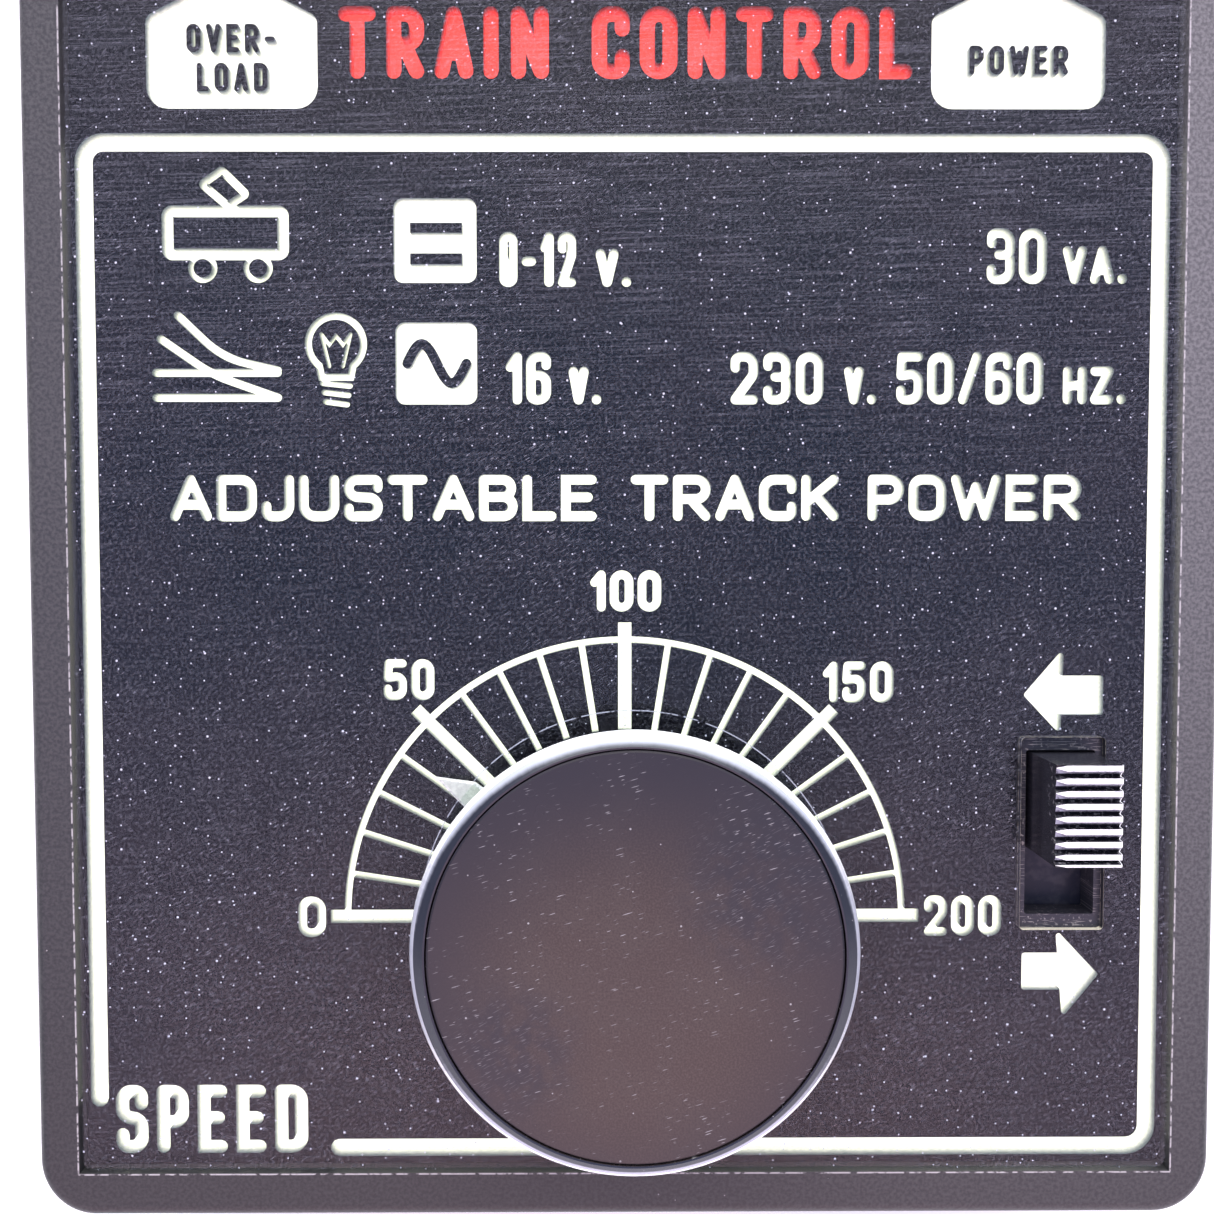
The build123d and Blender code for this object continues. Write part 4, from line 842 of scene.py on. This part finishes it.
def slider_mesh():
    """The slider about its own middle. Its ridges run across it, and narrow to a point at their left ends."""
    across = [(-SLIDER_HALF_WIDTH, 0.15, 0.35), (-SLIDER_HALF_WIDTH + 0.95, 1.0, 0.0),
              (SLIDER_HALF_WIDTH - 0.09, 1.0, 0.0), (SLIDER_HALF_WIDTH, 1.0, 0.12)]
    crests = [SLIDER_HALF_LENGTH - 0.32 - RIDGE_PITCH * k for k in range(RIDGES)]
    crests.append(-SLIDER_HALF_LENGTH + 0.17)
    columns = []
    for u, width, sunk in across:
        top = SLIDER_TOP - sunk
        line = [(u, SLIDER_HALF_LENGTH, SLIDER_TOP - 0.3)]
        for k, crest in enumerate(crests):
            half = (RIDGE_HALF if k < RIDGES else LAST_RIDGE_HALF) * width
            line += [(u, crest + half, top), (u, crest - half, top - 0.03)]
            if k < RIDGES:
                slope_end = crest - (0.55 if k < RIDGES - 1 else 0.36)
                line += [(u, slope_end, GROOVE + 0.3), (u, crests[k + 1] + 0.38, GROOVE)]
        line += [(u, -SLIDER_HALF_LENGTH, SLIDER_TOP - 0.3), (u, -SLIDER_HALF_LENGTH, SLIDER_LOW),
                 (u, SLIDER_HALF_LENGTH, SLIDER_LOW)]
        columns.append(line)
    count = len(columns[0])
    verts = [p for line in columns for p in line]
    faces, slots = [], []
    for c in range(len(columns) - 1):
        for k in range(count):
            m = (k + 1) % count
            faces.append([c * count + k, c * count + m, (c + 1) * count + m, (c + 1) * count + k])
            part = (k - 1) % 4 if 1 <= k < count - 4 else 3
            crest_end = c == 2 and k < count - 3
            slots.append(1 if part == 0 or crest_end else 2 if part == 1 else 0)
    faces += [list(range(count))[::-1], list(range((len(columns) - 1) * count, len(columns) * count))]
    slots += [0, 0]
    corners = ((-1, -1), (1, -1), (1, 1), (-1, 1))
    sides = ((0, 1, 2, 3), (7, 6, 5, 4), (1, 0, 4, 5), (2, 1, 5, 6), (3, 2, 6, 7), (0, 3, 7, 4))
    for half_u, half_v, low, high in (SHIELD, STEM):
        first = len(verts)
        verts += [(su * half_u, sv * half_v, n) for n in (high, low) for su, sv in corners]
        faces += [[first + i for i in side] for side in sides]
        slots += [3] * 6
    mesh = bpy.data.meshes.new("slider")
    mesh.from_pydata([tuple(c * MM for c in v) for v in verts], [], faces)
    mesh.polygons.foreach_set("material_index", slots)
    return mesh


def slider_finish():
    """Glossy black plastic, with bright scratches near its upper edges."""
    f = Finish("slider_finish")
    near_top = f.span(f.split()[2], 3.0 * MM, 6.8 * MM)
    marks = f.math("MULTIPLY", f.span(f.noise(0.5, 3.0), 0.56, 0.68), near_top)
    dust = f.math("MULTIPLY", f.specks(1.0, 0.07, 0.3), 0.4)
    marks = f.math("MAXIMUM", f.math("MULTIPLY", marks, 0.45), dust)
    base = f.blend(marks, (0.022, 0.022, 0.03), (0.6, 0.58, 0.58))
    return f.done(f.principled(base_color=base, roughness=0.22, normal=f.bump(f.noise(0.8), 0.01)))


def crest_finish(name, dark, light, glow):
    """Ridge crests painted bright as highlights, with a painted glow."""
    f = Finish(name)
    base = f.blend(f.span(f.noise(0.45, 3.0), 0.3, 0.5), dark, light)
    return f.done(f.principled(base_color=base, roughness=0.3, emission_color=base, emission_strength=glow,
                               normal=f.bump(f.noise(0.3, 1.0), 0.01)))


def shield_finish():
    """The dust shield: dark slate, glossy, with smears of dust."""
    f = Finish("shield_finish")
    smear = f.math("MULTIPLY", f.span(f.noise(1.5, 3.0), 0.45, 0.7), 0.12)
    base = f.blend(smear, (0.03, 0.032, 0.052), (0.4, 0.36, 0.34))
    return f.done(f.principled(base_color=base, roughness=0.3, specular_ior_level=0.3,
                               normal=f.bump(f.noise(1.2), 0.01)))


# The crests, their right ends and their slopes carry painted highlights and painted sheen with a painted glow.
add_piece("slider", slider_mesh(),
          [slider_finish(), crest_finish("crest", (0.7, 0.72, 0.76), (0.95, 0.95, 0.95), 0.4),
           crest_finish("crest_side", (0.12, 0.13, 0.17), (0.4, 0.42, 0.5), 0.1), shield_finish()],
          "slider", ["direction_slider"], (SWITCH_U, SLIDER_V, 0))


# ----------------------------------------------------------
# The CAD pieces' finishes
# ----------------------------------------------------------
def casing_finish():
    """Grained black casing with dust specks; a broken painted highlight line along the recess's edge round the
    face plate, and a painted reflection that lightens its top towards the back and the right.
    """
    f = Finish("casing_black", panel=True)
    u, v, n = f.split()
    beside = f.math("ABSOLUTE", u)
    broken = f.span(f.noise(0.9), 0.4, 0.55)
    side = PLATE_HALF_WIDTH + 0.22
    low = PLATE_LOW - 0.22
    # Painted highlight: a thin broken bright line along the recess's edge.
    edge_u = f.math("MULTIPLY", band(f, beside, side, 0.13), f.span(v, 4.2 * MM, 4.4 * MM))
    within = f.span(beside, (side - 0.07) * MM, (side + 0.08) * MM, 1.0, 0.0)
    edge_v = f.math("MULTIPLY", band(f, v, low, 0.13), within)
    edge = f.math("MULTIPLY", f.math("MAXIMUM", edge_u, edge_v), broken)
    edge = f.math("MULTIPLY", edge, f.span(n, -0.3 * MM, -0.1 * MM))
    dust = f.math("MULTIPLY", f.specks(1.8, 0.1, 0.3), 0.5)
    marks = f.math("MAXIMUM", f.math("MULTIPLY", edge, 0.8), dust)
    # Painted reflection: the top surface lighter towards the back and the right.
    film_and_sheen = f.math("MULTIPLY", f.span(v, -20 * MM, 110 * MM, 0.1, 1.0),
                  f.span(u, -40 * MM, 50 * MM, 0.06, 0.2))
    film_and_sheen = f.math("MULTIPLY", film_and_sheen, f.span(n, -3 * MM, -0.5 * MM))
    grain = f.noise(0.36, 1.0)
    base = f.blend(f.span(grain, 0.3, 0.7), (0.021, 0.022, 0.024), (0.04, 0.04, 0.04))
    base = f.blend(f.math("MULTIPLY", film_and_sheen, f.span(grain, 0.3, 0.7, 0.65, 1.2)), base, (0.9, 0.9, 0.9))
    base = f.blend(marks, base, (0.8, 0.78, 0.76))
    return f.done(f.principled(base_color=base, roughness=f.span(grain, 0.3, 0.7, 0.38, 0.48),
                               normal=f.bump(grain, 0.03)))


FINISHES = {
    "casing_black": casing_finish(),
    "base_black": plastic("base_black", (0.03, 0.03, 0.032), 0.5, (0.6, 0.03)),
    "foot_rubber": plastic("foot_rubber", (0.035, 0.035, 0.035), 0.8, (0.3, 0.03), specular=0.25),
    "screw_steel": metal("screw_steel", (0.62, 0.62, 0.6), 0.3),
    "cap_black": plastic("cap_black", (0.02, 0.02, 0.022), 0.2),
    "clear_knob": plastic("clear_knob", (0.6, 0.65, 0.62), 0.2),
    "clear_plate": plastic("clear_plate", (0.6, 0.65, 0.62), 0.2),
    "pointer_grey": plastic("pointer_grey", (0.72, 0.76, 0.72), 0.4),
    "shaft_steel": metal("shaft_steel", (0.65, 0.65, 0.63), 0.25, (12, 12, 1)),
    "contact_brass": metal("contact_brass", (0.78, 0.62, 0.34), 0.3),
    "zinc_grey": metal("zinc_grey", (0.5, 0.5, 0.5), 0.5),
    "phenolic_brown": plastic("phenolic_brown", (0.2, 0.09, 0.04), 0.45),
    "can_steel": metal("can_steel", (0.6, 0.6, 0.58), 0.28),
    "nut_brass": metal("nut_brass", (0.76, 0.6, 0.32), 0.25),
    "frame_black": plastic("frame_black", (0.02, 0.02, 0.022), 0.35),
    "slider_black": plastic("slider_black", (0.03, 0.03, 0.035), 0.25),
    "carrier_white": plastic("carrier_white", (0.75, 0.73, 0.66), 0.5),
    "housing_black": plastic("housing_black", (0.025, 0.024, 0.024), 0.35),
    "shroud_white": plastic("shroud_white", (0.85, 0.85, 0.82), 0.45),
    "lamp_red": plastic("lamp_red", (0.6, 0.04, 0.03), 0.12),
    "lamp_clear": plastic("lamp_clear", (0.8, 0.78, 0.7), 0.1),
    "core_iron": metal("core_iron", (0.16, 0.16, 0.17), 0.5, (14, 14, 1)),
    "former_nylon": plastic("former_nylon", (0.7, 0.67, 0.56), 0.5),
    "winding_copper": metal("winding_copper", (0.6, 0.22, 0.1), 0.3, (12, 12, 1)),
    "board_green": plastic("board_green", (0.34, 0.22, 0.09), 0.45),
    "capacitor_blue": plastic("capacitor_blue", (0.03, 0.07, 0.25), 0.25),
    "epoxy_black": plastic("epoxy_black", (0.025, 0.025, 0.026), 0.5),
    "cutout_red": plastic("cutout_red", (0.4, 0.04, 0.03), 0.35),
    "resistor_tan": plastic("resistor_tan", (0.55, 0.4, 0.22), 0.4),
    "sink_aluminium": metal("sink_aluminium", (0.72, 0.73, 0.74), 0.35, (14, 1, 1)),
    "fuse_glass": plastic("fuse_glass", (0.6, 0.65, 0.63), 0.08),
    "gland_rubber": plastic("gland_rubber", (0.03, 0.03, 0.03), 0.7, (0.3, 0.03), specular=0.3),
    "collar_red": plastic("collar_red", (0.45, 0.025, 0.02), 0.25),
    "collar_black": plastic("collar_black", (0.025, 0.025, 0.025), 0.25),
    "collar_yellow": plastic("collar_yellow", (0.6, 0.4, 0.02), 0.25),
    "collar_white": plastic("collar_white", (0.8, 0.8, 0.77), 0.25),
}
for part in frame["record"]["subparts"]:
    obj = frame["nodes"].get(part["node"])
    if obj:
        obj.data.materials.clear()
        obj.data.materials.append(FINISHES[part["material_slot"]])

# ----------------------------------------------------------
# Floor, light and camera
# ----------------------------------------------------------
FLOOR_REACH = 1.2
floor_mesh = bpy.data.meshes.new("floor")
floor_corners = [(x * FLOOR_REACH, y * FLOOR_REACH, 0) for x, y in ((-1, -1), (1, -1), (1, 1), (-1, 1))]
floor_mesh.from_pydata(floor_corners, [], [(0, 1, 2, 3)])
floor = bpy.data.objects.new("floor", floor_mesh)
bpy.context.scene.collection.objects.link(floor)
ground = Finish("floor")
pale = ground.blend(ground.span(ground.noise(60.0), 0.3, 0.7), (0.9, 0.9, 0.9), (0.86, 0.86, 0.87))
ground_shader = ground.principled(base_color=pale, roughness=0.6, emission_color=pale, emission_strength=0.45)
floor_mesh.materials.append(ground.done(ground_shader))


def studio():
    """Soft room light: deep blue straight above the panel, paler towards the user and the back, and dark at
    the left and right."""
    room = bpy.data.worlds.new("studio")
    room.use_nodes = True
    sky = Nodes(room.node_tree, "Generated")
    turned = sky.add("ShaderNodeMapping", {"Vector": sky.coords, "Rotation": (-SLOPE, 0, 0)}).outputs[0]
    x, y, _ = sky.split(turned)
    side = sky.math("ABSOLUTE", x)
    colour = sky.blend(sky.span(y, 0.0, -0.42), (0.34, 0.5, 0.86), (2.0, 1.38, 1.6))
    colour = sky.blend(sky.span(y, 0.05, 0.6), colour, (1.7, 1.6, 1.6))
    colour = sky.blend(sky.span(side, 0.15, 0.4, 0.0, 0.45), colour, (0.8, 0.8, 1.25))
    colour = sky.blend(sky.span(y, 0.7, 0.9), colour, (4.6, 4.6, 4.7))
    colour = sky.blend(sky.span(side, 0.55, 0.85, 0.0, 0.9), colour, (0.35, 0.37, 0.45))
    background = sky.add("ShaderNodeBackground", {"Color": colour, "Strength": 1.0}).outputs[0]
    sky.add("ShaderNodeOutputWorld", {"Surface": background})
    return room


bpy.context.scene.world = studio()

# The camera looks straight down on the panel from just above its middle, tilted by a few degrees
SENSOR, LENS = 36.0, 39.28
CAMERA_AT = (-2.48, 69.15, 135.2)
CAMERA_TILT = (-2.48, -0.263, -0.054)
cam_data = bpy.data.cameras.new("camera")
cam = bpy.data.objects.new("camera", cam_data)
bpy.context.scene.collection.objects.link(cam)
cam_data.sensor_width = SENSOR
cam_data.lens = LENS
cam.matrix_world = PANEL @ Matrix.Translation(Vector(CAMERA_AT) * MM)
for angle, axis in zip(CAMERA_TILT, "XYZ"):
    cam.matrix_world = cam.matrix_world @ Matrix.Rotation(math.radians(angle), 4, axis)
cam_data.clip_start = 0.005
cam_data.clip_end = 10
bpy.context.scene.camera = cam
bpy.context.scene.view_settings.view_transform = "Standard"
